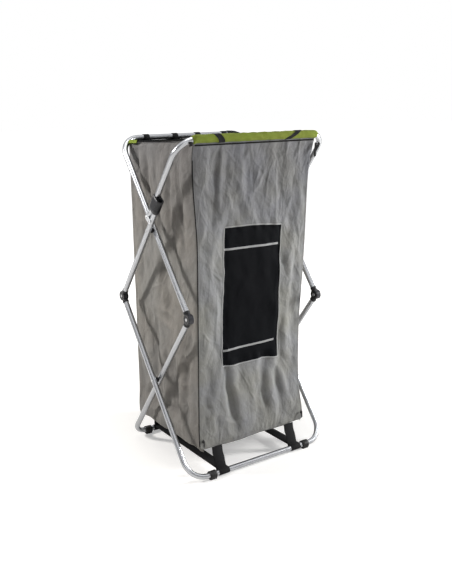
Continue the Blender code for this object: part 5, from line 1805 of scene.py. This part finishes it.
def ribbon_mesh(points, across, width, thickness):
    """A flat strap along points. across is its width direction, one for all or one for each point."""
    p = np.asarray(points, float)
    side = np.broadcast_to(np.asarray(across, float), p.shape)
    side = side / np.linalg.norm(side, axis=1, keepdims=True)
    out = np.cross(np.gradient(p, axis=0), side)
    out /= np.linalg.norm(out, axis=1, keepdims=True)
    half = np.full(len(p), width / 2)
    slim, nose = thickness / 2, min(thickness * 0.6, width / 4)
    outline = [(-1, 0, -0.4), (-1, nose, -1), (0, 0, -1), (1, -nose, -1), (1, 0, -0.4),
               (1, 0, 0.4), (1, -nose, 1), (0, 0, 1), (-1, nose, 1), (-1, 0, 0.4)]
    rings, uv = [], []
    for share, inset, lift in outline:
        reach = share * half + inset
        rings.append(p + reach[:, None] * side + lift * slim * out)
        uv.append(np.stack([reach, distances(p)], axis=1))
    verts, uv = np.stack(rings, axis=1), np.stack(uv, axis=1)
    count = len(outline)
    starts = range(0, len(p) * count, count)
    faces = [(low + j, low + (j + 1) % count, high + (j + 1) % count, high + j)
             for low, high in zip(starts, starts[1:]) for j in range(count)]
    faces += [tuple(range(start, start + count)) for start in (starts[0], starts[-1])]
    return solid(verts, faces, uv)


NARROWEST_SHEET = 0.010


def strap(name, points, across, width, body, rests_on, nodes=(), material=None,
          thickness=0.0012, held="stretched", fold=True):
    """A piece of webbing or tape, declared as the sheet that it is."""
    mesh = ribbon_mesh(points, across, width, thickness)
    piece = show(name, mesh, body, nodes, material or WEBBING, sharp=50)
    if fold:
        crumple_flat(piece)
    if width >= NARROWEST_SHEET:
        declare(piece, (width, round(float(distances(points)[-1]), 3)), held, rests_on)
    return piece


test_strap = ribbon_mesh([(0, 0, 0), (0, 0, 0.1), (0, 0, 0.2)], (1, 0, 0), 0.02, 0.001)
print("a test strap:", len(test_strap.polygons), "faces")


# %% Stitches, from the same kind of nodes as the rivets' heads
BEAD_TREE = build_on_points("beads_on_points", 6, 4)
STITCH_PITCH = 0.0042


def stitches(name, lines, body, fold=True):
    """All the stitches on one body, as one piece. Each lies half way between two points of its line."""
    spots, ways = [], []
    for line in lines:
        p = resampled(line, STITCH_PITCH)
        spots += [Vector(m) for m in (p[1:] + p[:-1]) / 2]
        ways += [Vector(w).normalized() for w in p[1:] - p[:-1]]
    mesh = grown(line_mesh(spots, ways), BEAD_TREE, Finish=THREAD, Along=0.0015, Across=0.0003)
    piece = show(name, mesh, body, sharp=0)
    if fold:
        crumple_flat(piece)
    print(name, len(spots), "stitches")
    return piece


# %% [markdown]
# ## The green sleeve
# The header is sewn to a sleeve of yellow green cloth that slides onto the front bow and reaches into
# both bends. The sleeve is a little slack, pulled down to a seam along its underside, and two black
# bands cross it at a slant.

# %% Skin around a bow
WRAP_WALL = 0.0011


def bow_skin(place, plane, high, s, a, r):
    """Places around a bow: s is the distance along it from its middle, a the angle up from its front."""
    straight = plane - BEND_RADIUS
    turn = np.sign(s) * np.clip((np.abs(s) - straight) / BEND_RADIUS, 0, None)
    x = np.clip(s, -straight, straight) + BEND_RADIUS * np.sin(turn)
    z = high - BEND_RADIUS * (1 - np.cos(turn))
    back = np.array(place.to_3x3().inverted())
    ahead, upright = back @ np.array((0, -1, 0)), back @ np.array((0, 0, 1))
    radial = np.cos(a)[..., None] * ahead + np.sin(a)[..., None] * upright
    local = np.stack([x + r * radial[..., 2] * np.sin(turn), r * radial[..., 1],
                      z + r * radial[..., 2] * np.cos(turn)], axis=-1)
    turned = np.array(place.to_3x3())
    return local @ turned.T + np.array(place.translation)


def wrapped(name, place, plane, high, s, a, r):
    """A closed skin of cloth around a bow, with its wall turned inward."""
    points = bow_skin(place, plane, high, s, a, r)
    core = bow_skin(place, plane, high, s, a, np.zeros_like(r)).reshape(-1, 3)
    mesh = grid_mesh(points, s, a * SLEEVE_RADIUS, np.full(s.shape, 0.5), (0, 0, 1))
    bm = bmesh.new()
    bm.from_mesh(mesh)
    bmesh.ops.remove_doubles(bm, verts=bm.verts, dist=1e-6)
    bm.normal_update()
    bm.faces.ensure_lookup_table()
    first = bm.faces[len(bm.faces) // 2]
    middle = first.calc_center_median()
    nearest = core[np.argmin(np.linalg.norm(core - np.array(middle), axis=1))]
    if first.normal.dot(middle - Vector(nearest)) < 0:
        bmesh.ops.reverse_faces(bm, faces=bm.faces)
    bm.to_mesh(mesh)
    bm.free()
    helper = new_object("helper", mesh)
    thick = shell(helper, WRAP_WALL).data
    bpy.data.objects.remove(helper)
    thick.name = name
    return thick


AROUND = np.linspace(-np.pi / 2, 3 * np.pi / 2, 49)
BOW_HIGH = ARM_REACH - LOCK_REACH
SLEEVE_LEFT, SLEEVE_RIGHT = -0.2420, 0.2480
SLEEVE_SEED = 5


def sleeve_radius(s, a):
    """How far the sleeve stands from the bow's axis. It is drawn down to a seam underneath."""
    down = np.abs(np.angle(np.exp(1j * (a + np.pi / 2))))
    seam = 0.0022 * np.exp(-((down / 0.42) ** 2))
    wrinkle = 0.0015 * (crumple(s, np.sin(a) * SLEEVE_RADIUS, SLEEVE_SEED, 0.016, 0.9) - 0.55)
    pulls = 0.0007 * np.sin(s * 150 + 2.2 * np.sin(a) + 3 * lattice(s, s, 0.06, 0.06, SLEEVE_SEED))
    ends = np.clip(np.minimum(s - SLEEVE_LEFT, SLEEVE_RIGHT - s) / 0.004, 0, 1)
    return 0.0107 + (0.0014 + seam + wrinkle + 0.6 * pulls) * (0.25 + 0.75 * ends)


s, a = np.meshgrid(np.linspace(SLEEVE_LEFT, SLEEVE_RIGHT, 230), AROUND, indexing="ij")
mesh = wrapped("sleeve", FRONT_BOW, OUTER_PLANE, BOW_HIGH, s, a, sleeve_radius(s, a))
sleeve = show("green_bow_sleeve", mesh, "front_top_bow", ["front_sleeve"],
              GREEN_CLOTH, sharp=60)
for hand, middle, slant in (("left", -0.147, -0.010), ("right", 0.1455, 0.022)):
    along, a = np.meshgrid(np.linspace(-0.0115, 0.0115, 7), AROUND, indexing="ij")
    s = middle + slant * np.sin(a) + along
    mesh = wrapped("band", FRONT_BOW, OUTER_PLANE, BOW_HIGH, s, a, sleeve_radius(s, a) + 0.0013)
    band = show(f"{hand}_sleeve_band", mesh, "front_top_bow", (), WEBBING, sharp=60)
    declare(band, (0.023, 0.082), "stretched", [sleeve.name])
declare(sleeve, (round(SLEEVE_RIGHT - SLEEVE_LEFT, 3), 0.084), "gathered", ["front_bow"])
print("sleeve cut", SHEETS[sleeve.name]["size"])

# %% [markdown]
# ## Webbing at the top
# Four loops carry the case's rear edge on the rear bow, a wide hook and loop strap is wrapped around
# that bow near its right bend, and a green gusset ties the case to its left bend. At the front a
# short tab hangs from each end of the sleeve. A black binding runs along the top edges, just under
# the rails, and it is widest at the rear.

# %% Loops, wraps, tabs and bindings
rail = Vector((0, REAR_RAIL.y, REAR_RAIL.z))
LOOP_REACH = 0.0106


def loop_line(x, drop):
    """Up from the cloth, around the rear rail and down again, as one line."""
    angles = np.linspace(-1.32, math.pi + 1.32, 30)
    ring = [(x, rail.y + LOOP_REACH * math.cos(t), rail.z + LOOP_REACH * math.sin(t)) for t in angles]
    return [(x, rail.y + 0.0022, rail.z - drop), *ring, (x, rail.y - 0.0026, rail.z - drop)]


for number, loop in enumerate(LOOP_X, 1):
    points = resampled(loop_line(loop, 0.0300), 0.0016)
    strap(f"rear_webbing_loop_{number}", points, (1, 0, 0), LOOP_WIDTH, "rear_top_bow", ["rear_bow"],
          [f"rear_loop_{number}"], fold=False)
s, a = np.meshgrid(np.linspace(0.182, 0.262, 40), AROUND, indexing="ij")
radius = 0.0114 + 0.0010 * crumple(s, np.sin(a) * 0.012, 8, 0.014, 1.0)
mesh = wrapped("wrap", REAR_BOW, INNER_PLANE, ARM_REACH, s, a, radius)
wrap = show("rear_bow_wrap", mesh, "rear_top_bow", (), WEBBING, sharp=60)
declare(wrap, (0.080, 0.078), "stretched", ["rear_bow"])


def edge_binding(sheet, name, points, width, thickness):
    """A binding folded over a sheet's edge: a narrow tape whose two faces stand clear of the cloth."""
    trim(sheet, strap(name, points, (0, 0, 1), width, "case", (), (), LINING_CLOTH, thickness=thickness))


x = np.linspace(-0.226, 0.226, 150)
line = np.stack([x, np.full_like(x, REAR_Y - 0.0006), rear_top(x) - 0.0030], axis=1)
edge_binding(rear_cloth, "rear_top_binding", line, 0.0080, 0.0042)
for side, hand in SIDES:
    back = np.linspace(0.02, 0.985, 60)
    start = behind_sleeve(side_top(0)) + 0.001
    y = start + (REAR_Y - 0.002 - start) * back
    front_x = abs(eased(1.11, LEFT_EDGE if side < 0 else RIGHT_EDGE))
    out = front_x + (REAR_CORNER - front_x) * back - 0.0030
    line = np.stack([side * out, y, side_top(back) + 0.0010], axis=1)
    edge_binding(bpy.data.objects[f"{hand}_side_cloth"], f"{hand}_top_binding", line, 0.0050, 0.0040)
x = np.linspace(LEFT_EDGE[0][1] + 0.004, RIGHT_EDGE[0][1] - 0.004, 150)
seam_z = np.full_like(x, HEADER_TOP - 0.0060)
line = np.stack([x, front_place(x, seam_z) - 0.0022, seam_z], axis=1)
edge_binding(header_cloth, "header_top_binding", line, 0.0045, 0.0022)

bend_angles = np.linspace(0.10, 0.95, 16)
inner = BEND_RADIUS - TUBE_RADIUS - 0.0006
gusset_outer = [REAR_BOW @ Vector((-(INNER_PLANE - BEND_RADIUS + inner * math.sin(t)), 0,
                                   ARM_REACH - BEND_RADIUS + inner * math.cos(t))) for t in bend_angles]
ridge, lip = [], []
for y in np.linspace(0.148, REAR_Y - 0.003, 16):
    back = (y + FRONT_Y) / (REAR_Y + FRONT_Y)
    ridge.append(Vector((-0.2400, y, float(side_top(back)) + 0.0048)))
    lip.append(Vector((-0.2445, y, float(side_top(back)) - 0.0055)))
rows = [[tuple(a.lerp(b, t)) for a, b in zip(gusset_outer, ridge)] for t in np.linspace(0, 1, 9)]
rows += [[tuple(a.lerp(b, t)) for a, b in zip(ridge, lip)] for t in np.linspace(0, 1, 5)[1:]]
points = np.array(rows)
u, v = np.meshgrid(np.linspace(0, 0.06, 16), np.linspace(0, 0.05, 13))
mesh = grid_mesh(points, u, v, np.full(u.shape, 0.5), (-0.3, 0, 1))
gusset = show("green_corner_gusset", mesh, "case", (), GREEN_CLOTH, sharp=0)
shell(gusset, 0.0010)
crumple_flat(gusset)
declare(gusset, grid_size(points), "stretched", ["rear_bow"])

left_end = FRONT_BOW @ Vector((-0.2520, 0, BOW_HIGH - 0.0080))
right_end = Vector((0.2470, FRONT_RAIL.y - 0.0010, FRONT_RAIL.z - 0.0300))
for name, start, offsets, turn, step, across, width in (
    ("left_sleeve_tab", left_end, ((0, -0.0098, -0.002), (0.001, -0.0112, -0.007), (0.002, -0.0095, -0.0125),
                                   (0.003, -0.0060, -0.0150)), 0.004, 0.002, (1, 0, 0.1), 0.013),
    ("right_tie_long", right_end, ((0, 0, 0), (-0.001, 0, -0.016), (-0.002, 0.001, -0.032),
                                   (-0.002, 0.001, -0.047)), 0.01, 0.003, (1, 0, 0.25), 0.010),
    ("right_tie_short", right_end, ((0.018, 0.002, -0.002), (0.009, -0.001, -0.012), (-0.001, 0.001, -0.028)),
     0.01, 0.003, (0.75, 0, -0.66), 0.010),
):
    line = resampled(rounded([start + Vector(offset) for offset in offsets], turn), step)
    strap(name, line, across, width, "front_top_bow", [sleeve.name], held="hung", fold=False)
print("top fittings ready")

# %% [markdown]
# ## Webbing under the case
# Each floor strap is one length of wide webbing. It comes down from the case's front hem, turns
# around the front floor rail, runs back just above the floor, turns around the rear rail and goes
# up to the rear hem, and it holds the case down and the feet together.

# %% Floor straps
STRAP_MIDDLE = 0.157
STRAP_BREADTH = 0.042
RING_REACH = 0.0104


def tangent_angle(centre, spot, turn):
    """Where a line from a spot meets the ring around a rail, as an angle in the YZ plane."""
    away = Vector(spot) - Vector(centre)
    return math.atan2(away.y, away.x) + turn * math.acos(RING_REACH / away.length)


def floor_strap_line(x):
    """From the front hem around both floor rails to the rear hem. It waves a little where it is slack."""
    front, rear = (-FLOOR_RAIL_Y, FLOOR_AXIS_Z), (FLOOR_RAIL_Y, FLOOR_AXIS_Z)
    hem_front, hem_rear = (-FRONT_Y + 0.004, CASE_BOTTOM + 0.0015), (REAR_Y - 0.004, CASE_BOTTOM + 0.0015)
    turns = ((front, tangent_angle(front, hem_front, -1), math.pi / 2 - 2 * math.pi),
             (rear, math.pi / 2, tangent_angle(rear, hem_rear, 1) - 2 * math.pi))
    rings = [(x, y + RING_REACH * math.cos(t), z + RING_REACH * math.sin(t))
             for (y, z), start, end in turns for t in np.linspace(start, end, 30)]
    points = resampled([(x, *hem_front), *rings, (x, *hem_rear)], 0.0022)
    slack = np.clip((points[:, 2] - 0.030) / 0.03, 0, 1)
    points[:, 0] += 0.0010 * np.sin(points[:, 2] * 160) * slack
    return points


for side, hand in SIDES:
    points = floor_strap_line(side * STRAP_MIDDLE)
    piece = strap(f"{hand}_floor_webbing", points, (1, 0, 0), STRAP_BREADTH, "case",
                  ["front_floor_rail", "rear_floor_rail"], [f"{hand}_floor_strap"], thickness=0.0015)
    print(piece.name, "cut", SHEETS[piece.name]["size"])

# %% [markdown]
# ## Zips
# A zip runs down each front corner, from the header to the hem. Its black tape fills the corner
# between the side wall and the door, and its teeth lie across it. The tape is a strap along the
# corner, turned half way between the two walls, and the teeth are beads set along it. The slider is a
# small casting: two plates on a neck, a bridge, and a pull tab with an eye.

# %% Zip tapes and teeth
ZIP_TOP = HEADER_TOP - 0.006
ZIP_LOW = CASE_BOTTOM + 0.016


def zip_line(side, low, high, step, out=0.0):
    """Points down one front corner. out moves them away from the corner, along its diagonal."""
    z = np.linspace(low, high, round((high - low) / step) + 1)
    x = eased(z, LEFT_EDGE if side < 0 else RIGHT_EDGE)
    y = front_place(x, z)
    return np.stack([x - side * 0.0020 + side * out * 0.5, y + 0.0024 - out, z], axis=1)


for side, hand in SIDES:
    across = (1, side * 0.75, 0)
    tape = strap(f"{hand}_zip_tape", zip_line(side, ZIP_LOW, ZIP_TOP, 0.006), across, 0.0046, "case",
                 [header_cloth.name], (), ZIP_TAPE, 0.0010, "hung")
    spots = [Vector(p) for p in zip_line(side, ZIP_LOW + 0.004, ZIP_TOP - 0.004, 0.0026, 0.0008)]
    ways = [Vector(across).normalized()] * len(spots)
    mesh = grown(line_mesh(spots, ways), BEAD_TREE, Finish=ZIP_METAL, Along=0.0013, Across=0.0006)
    teeth = show(f"{hand}_zip_teeth", mesh, "case", sharp=0)
    crumple_flat(teeth)
    trim(header_cloth, tape)
    print(hand, "zip:", len(spots), "teeth")


# %% Zip sliders
PULL_STEPS = 10


def plate(outline, low, high, bevel, spot):
    """A plate with an outline of (x, z) pairs, from low to high along Y, at a spot."""
    turn = Matrix.Rotation(math.pi / 2, 4, "Z")
    mesh = rounded_prism([(-x, z) for x, z in outline], low, high, bevel, turn)
    mesh.transform(Matrix.Translation(spot))
    return mesh


def pull_outline(length, wide, narrow):
    """A pull tab that widens toward its round lower end."""
    ends = []
    for radius, centre, first in ((narrow, -narrow, 0.0), (wide, -length + wide, math.pi)):
        ends += [(radius * math.cos(t), centre + radius * math.sin(t))
                 for t in np.linspace(first, first + math.pi, PULL_STEPS)]
    return ends


for side, hand in SIDES:
    low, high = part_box(f"{hand}_zip_slider")
    centre = Vector(((low.x + high.x) / 2, (low.y + high.y) / 2, high.z - 0.0075))
    shoulder = [(0.0042 * math.cos(t), 0.0062 * math.sin(t) * (1.0 if math.sin(t) > 0 else 0.9))
                for t in np.linspace(0, 2 * math.pi, 25)[:-1]]
    face = Vector((centre.x, centre.y - 0.0002, centre.z))
    neck = [(x * 0.35, z * 0.4 + 0.002) for x, z in shoulder]
    parts = [plate(shoulder, -0.0006, 0.0006, 0.0003, face + Vector((0, forth, 0)))
             for forth in (-0.0014, 0.0016)]
    parts.append(plate(neck, -0.0012, 0.0012, 0.0002, face))
    bridge = [face + Vector((0, y, z))
              for y, z in ((-0.0016, 0.0045), (-0.0040, 0.0036), (-0.0040, -0.0030), (-0.0016, -0.0040))]
    parts.append(ribbon_mesh(resampled(rounded(bridge, 0.0015), 0.0006), (1, 0, 0), 0.0022, 0.0010))
    tab = plate(pull_outline(0.0215, 0.0030, 0.0022), -0.0005, 0.0005, 0.0002,
                face + Vector((0, -0.0031, 0.0010)))
    for eye_z, eye_radius in ((-0.0012, 0.0011), (-0.0178, 0.0014)):
        place = Matrix.Translation(face + Vector((0, -0.0031, eye_z))) @ Matrix.Rotation(math.pi / 2, 4, "X")
        tab = boolean(tab, rod(eye_radius, 0.01, "Z", place, 16), "DIFFERENCE")
    parts.append(tab)
    casting = show(f"{hand}_zip_slider_casting", joined(parts), f"{hand}_slider",
                   [f"{hand}_zip_slider"], ZIP_METAL, sharp=40)
    crumple_flat(casting)
print("slider castings ready")

# %% [markdown]
# ## Shelves and base
# Four stiff boards in dark cloth sit inside the case, hung from its walls. Each is a thin padded
# panel: two crowned faces that meet at a rounded edge, with a piping sewn all round. A grid that
# bulges by its distance from the edge gives that shape in one step.

# %% Padded boards
BOARD_GAP = 0.019
BOARD_CELLS = 64
EDGE_HALF = 0.0006


def board(name, node, z_middle, thickness):
    """A padded board and its piping, fitted inside the case's outline at that height."""
    left = eased(z_middle, LEFT_EDGE) + BOARD_GAP
    right = eased(z_middle, RIGHT_EDGE) - BOARD_GAP
    front, rear = -FRONT_Y + 0.024, REAR_Y - 0.009
    i, j = np.meshgrid(*[np.linspace(0, 1, BOARD_CELLS)] * 2, indexing="ij")
    ease_i, ease_j = (0.5 - 0.5 * np.cos(np.pi * t) * (0.75 + 0.25 * np.cos(np.pi * t) ** 2) for t in (i, j))
    x, y = left + (right - left) * ease_i, front + (rear - front) * ease_j
    edge = np.minimum(np.minimum(x - left, right - x), np.minimum(y - front, rear - y))
    rim = np.sqrt(1 - (1 - np.clip(edge / (thickness * 0.7), 0, 1)) ** 2)
    slack = 0.0007 * (crumple(x, y, 120 + int(100 * z_middle), 0.05, 1.0) - 0.5)
    crown = rim * (0.86 + 0.14 * np.clip(edge / 0.05, 0, 1))
    half = EDGE_HALF + (thickness / 2 - EDGE_HALF) * crown + slack * rim
    sag = 0.0016 * np.sin(np.pi * i) * np.sin(np.pi * j)
    top, low = (np.stack([x, y, z_middle + way * half - sag], axis=-1).reshape(-1, 3) for way in (1, -1))
    index, quads = grid_quads(x.shape)
    quads = quads.reshape(-1, 4)
    ring = [*index[0, :-1], *index[:-1, -1], *index[-1, :0:-1], *index[:0:-1, 0]]
    count = index.size
    faces = quads.tolist() + (quads[:, ::-1] + count).tolist()
    faces += [(int(a), int(b), int(b) + count, int(a) + count) for a, b in zip(ring, ring[1:] + ring[:1])]
    uv = np.tile(np.stack([x, y], axis=-1).reshape(-1, 2), (2, 1))
    mesh = solid(np.concatenate([top, low]), faces, uv)
    piece = show(name, mesh, "case", [node], SHELF_CLOTH, sharp=0)
    crumple_flat(piece)
    middle = (left + right) / 2
    turns = ((middle, front), (right, front), (right, rear), (left, rear), (left, front), (middle, front))
    path = resampled(rounded([(*turn, z_middle) for turn in turns], 0.006), 0.006)
    mesh = grown(line_mesh(path), TUBE_TREE, Finish=LINING_CLOTH, Radius=0.0016, Sides=8)
    crumple_flat(show(f"{name}_piping", mesh, "case", sharp=0))
    print(name, "from x", round(float(left), 3), "to", round(float(right), 3))


board("base_pad", "base_board", 0.0945, 0.0080)
for node, z_middle in (("lower_shelf", 0.345), ("middle_shelf", 0.595), ("upper_shelf", 0.845)):
    board(f"{node}_pad", node, z_middle, 0.0100)

# %% [markdown]
# ## The door's details
# Two pale reflective tapes cross the net, and a narrow folded edge runs around the opening. They all
# lie on the front's own surface, so each asks the same fold field where that surface is.

# %% Tapes on the net and the window's edge
def front_spot(x, z, out):
    """A place on the front's surface, moved outward a little."""
    x, z = np.asarray(x, float), np.asarray(z, float)
    return np.stack([x, front_place(x, z) - front_push(x, z) - out, z], axis=-1)


def front_tape(sheet, name, line, across, width, material, thickness):
    """A narrow tape on the front, which is a trim of the sheet that it is on."""
    trim(sheet, strap(name, line, across, width, "door_flap", (), (), material, thickness))


door_size = grid_size(door_points)
opening_area = float((window_right(0.6) - window_left(0.6)) * 0.467)
declare(door_cloth, door_size, "hung", [header_cloth.name],
        area=round(door_size[0] * door_size[1] - opening_area, 4))
declare(window_net, (0.246, 0.479), "stretched", [door_cloth.name])
for word, x0, z0, x1, z1 in (("upper", -0.1095, 0.7690, 0.1120, 0.7665),
                             ("lower", -0.1210, 0.4250, 0.0950, 0.4260)):
    share = np.linspace(0, 1, 60)
    line = front_spot(x0 + (x1 - x0) * share, z0 + (z1 - z0) * share, -NET_BEHIND + 0.0008)
    front_tape(window_net, f"{word}_net_tape", line, (0, 0, 1), 0.0070, TAPE_CLOTH, 0.0008)
share = np.linspace(0, 1, 90)
rims = {}
for word, place, end, lift in (("left", window_left, 0, -0.0016), ("right", window_right, -1, 0.0016)):
    low_z, high_z = WINDOW_BOTTOM[end][1], WINDOW_TOP[end][1]
    z = low_z + (high_z - low_z) * share
    rims[word] = (place(z) + lift, z, (1, 0, 0))
for word, table, lift in (("top", WINDOW_TOP, 0.0016), ("bottom", WINDOW_BOTTOM, -0.0016)):
    z = np.interp(WINDOW_HALF * (2 * share - 1), *zip(*table)) + lift
    x = window_left(z) + (window_right(z) - window_left(z)) * share
    rims[word] = (x, z, (0, 0, 1))
SEAM_OUT = {"left": (-0.004, 0), "right": (0.004, 0), "top": (0, 0.004), "bottom": (0, -0.004)}
door_lines = []
for word, (x, z, across) in rims.items():
    line = front_spot(x, z, 0.0003)
    front_tape(door_cloth, f"window_edge_{word}", line, across, 0.0042, EDGE_CLOTH, 0.0016)
    door_lines.append(front_spot(x + SEAM_OUT[word][0], z + SEAM_OUT[word][1], 0.0003))
print("door cut", SHEETS["door_cloth"]["size"], "net cut", SHEETS["window_net"]["size"])

# %% [markdown]
# ## Seams
# The case is sewn with a dark thread: around the window, above the hems, beside both zips and along
# the header. Each row of stitches follows the cloth that it is sewn into.

# %% Stitches
x = np.linspace(-0.205, 0.200, 150)
door_lines.append(front_spot(x, np.full_like(x, CASE_BOTTOM + 0.016), 0.0004))
for side, table in ((-1, LEFT_EDGE), (1, RIGHT_EDGE)):
    z = np.linspace(CASE_BOTTOM + 0.02, DOOR_TOP - 0.006, 220)
    door_lines.append(front_spot(eased(z, table) - side * (ZIP_GAP + 0.005), z, 0.0004))
trim(door_cloth, stitches("door_stitches", door_lines, "door_flap"))
x = np.linspace(-0.232, 0.236, 140)
header_line = front_spot(x, np.full_like(x, HEADER_TOP - 0.006), 0.0004)
trim(header_cloth, stitches("header_stitches", [header_line], "case"))
sleeve_line = np.linspace(SLEEVE_LEFT + 0.004, SLEEVE_RIGHT - 0.004, 160)
seam_angle = np.full_like(sleeve_line, -np.pi / 2 + 0.30)
sleeve_seam = bow_skin(FRONT_BOW, OUTER_PLANE, BOW_HIGH, sleeve_line, seam_angle,
                       sleeve_radius(sleeve_line, seam_angle) + 0.0003)
trim(sleeve, stitches("sleeve_stitches", [sleeve_seam], "front_top_bow", fold=False))

# %% [markdown]
# ## The cloth's cut sizes
# Each sheet was noted with the size that it was cut to before it was hung, measured along its
# own rows and columns, and with the narrow trims that are sewn to it. This cell counts the sheets.

# %% Sheets
for name, facts in SHEETS.items():
    facts = dict(facts)
    facts.pop("size")
    facts.pop("trims")
print("sheets:", len(SHEETS))
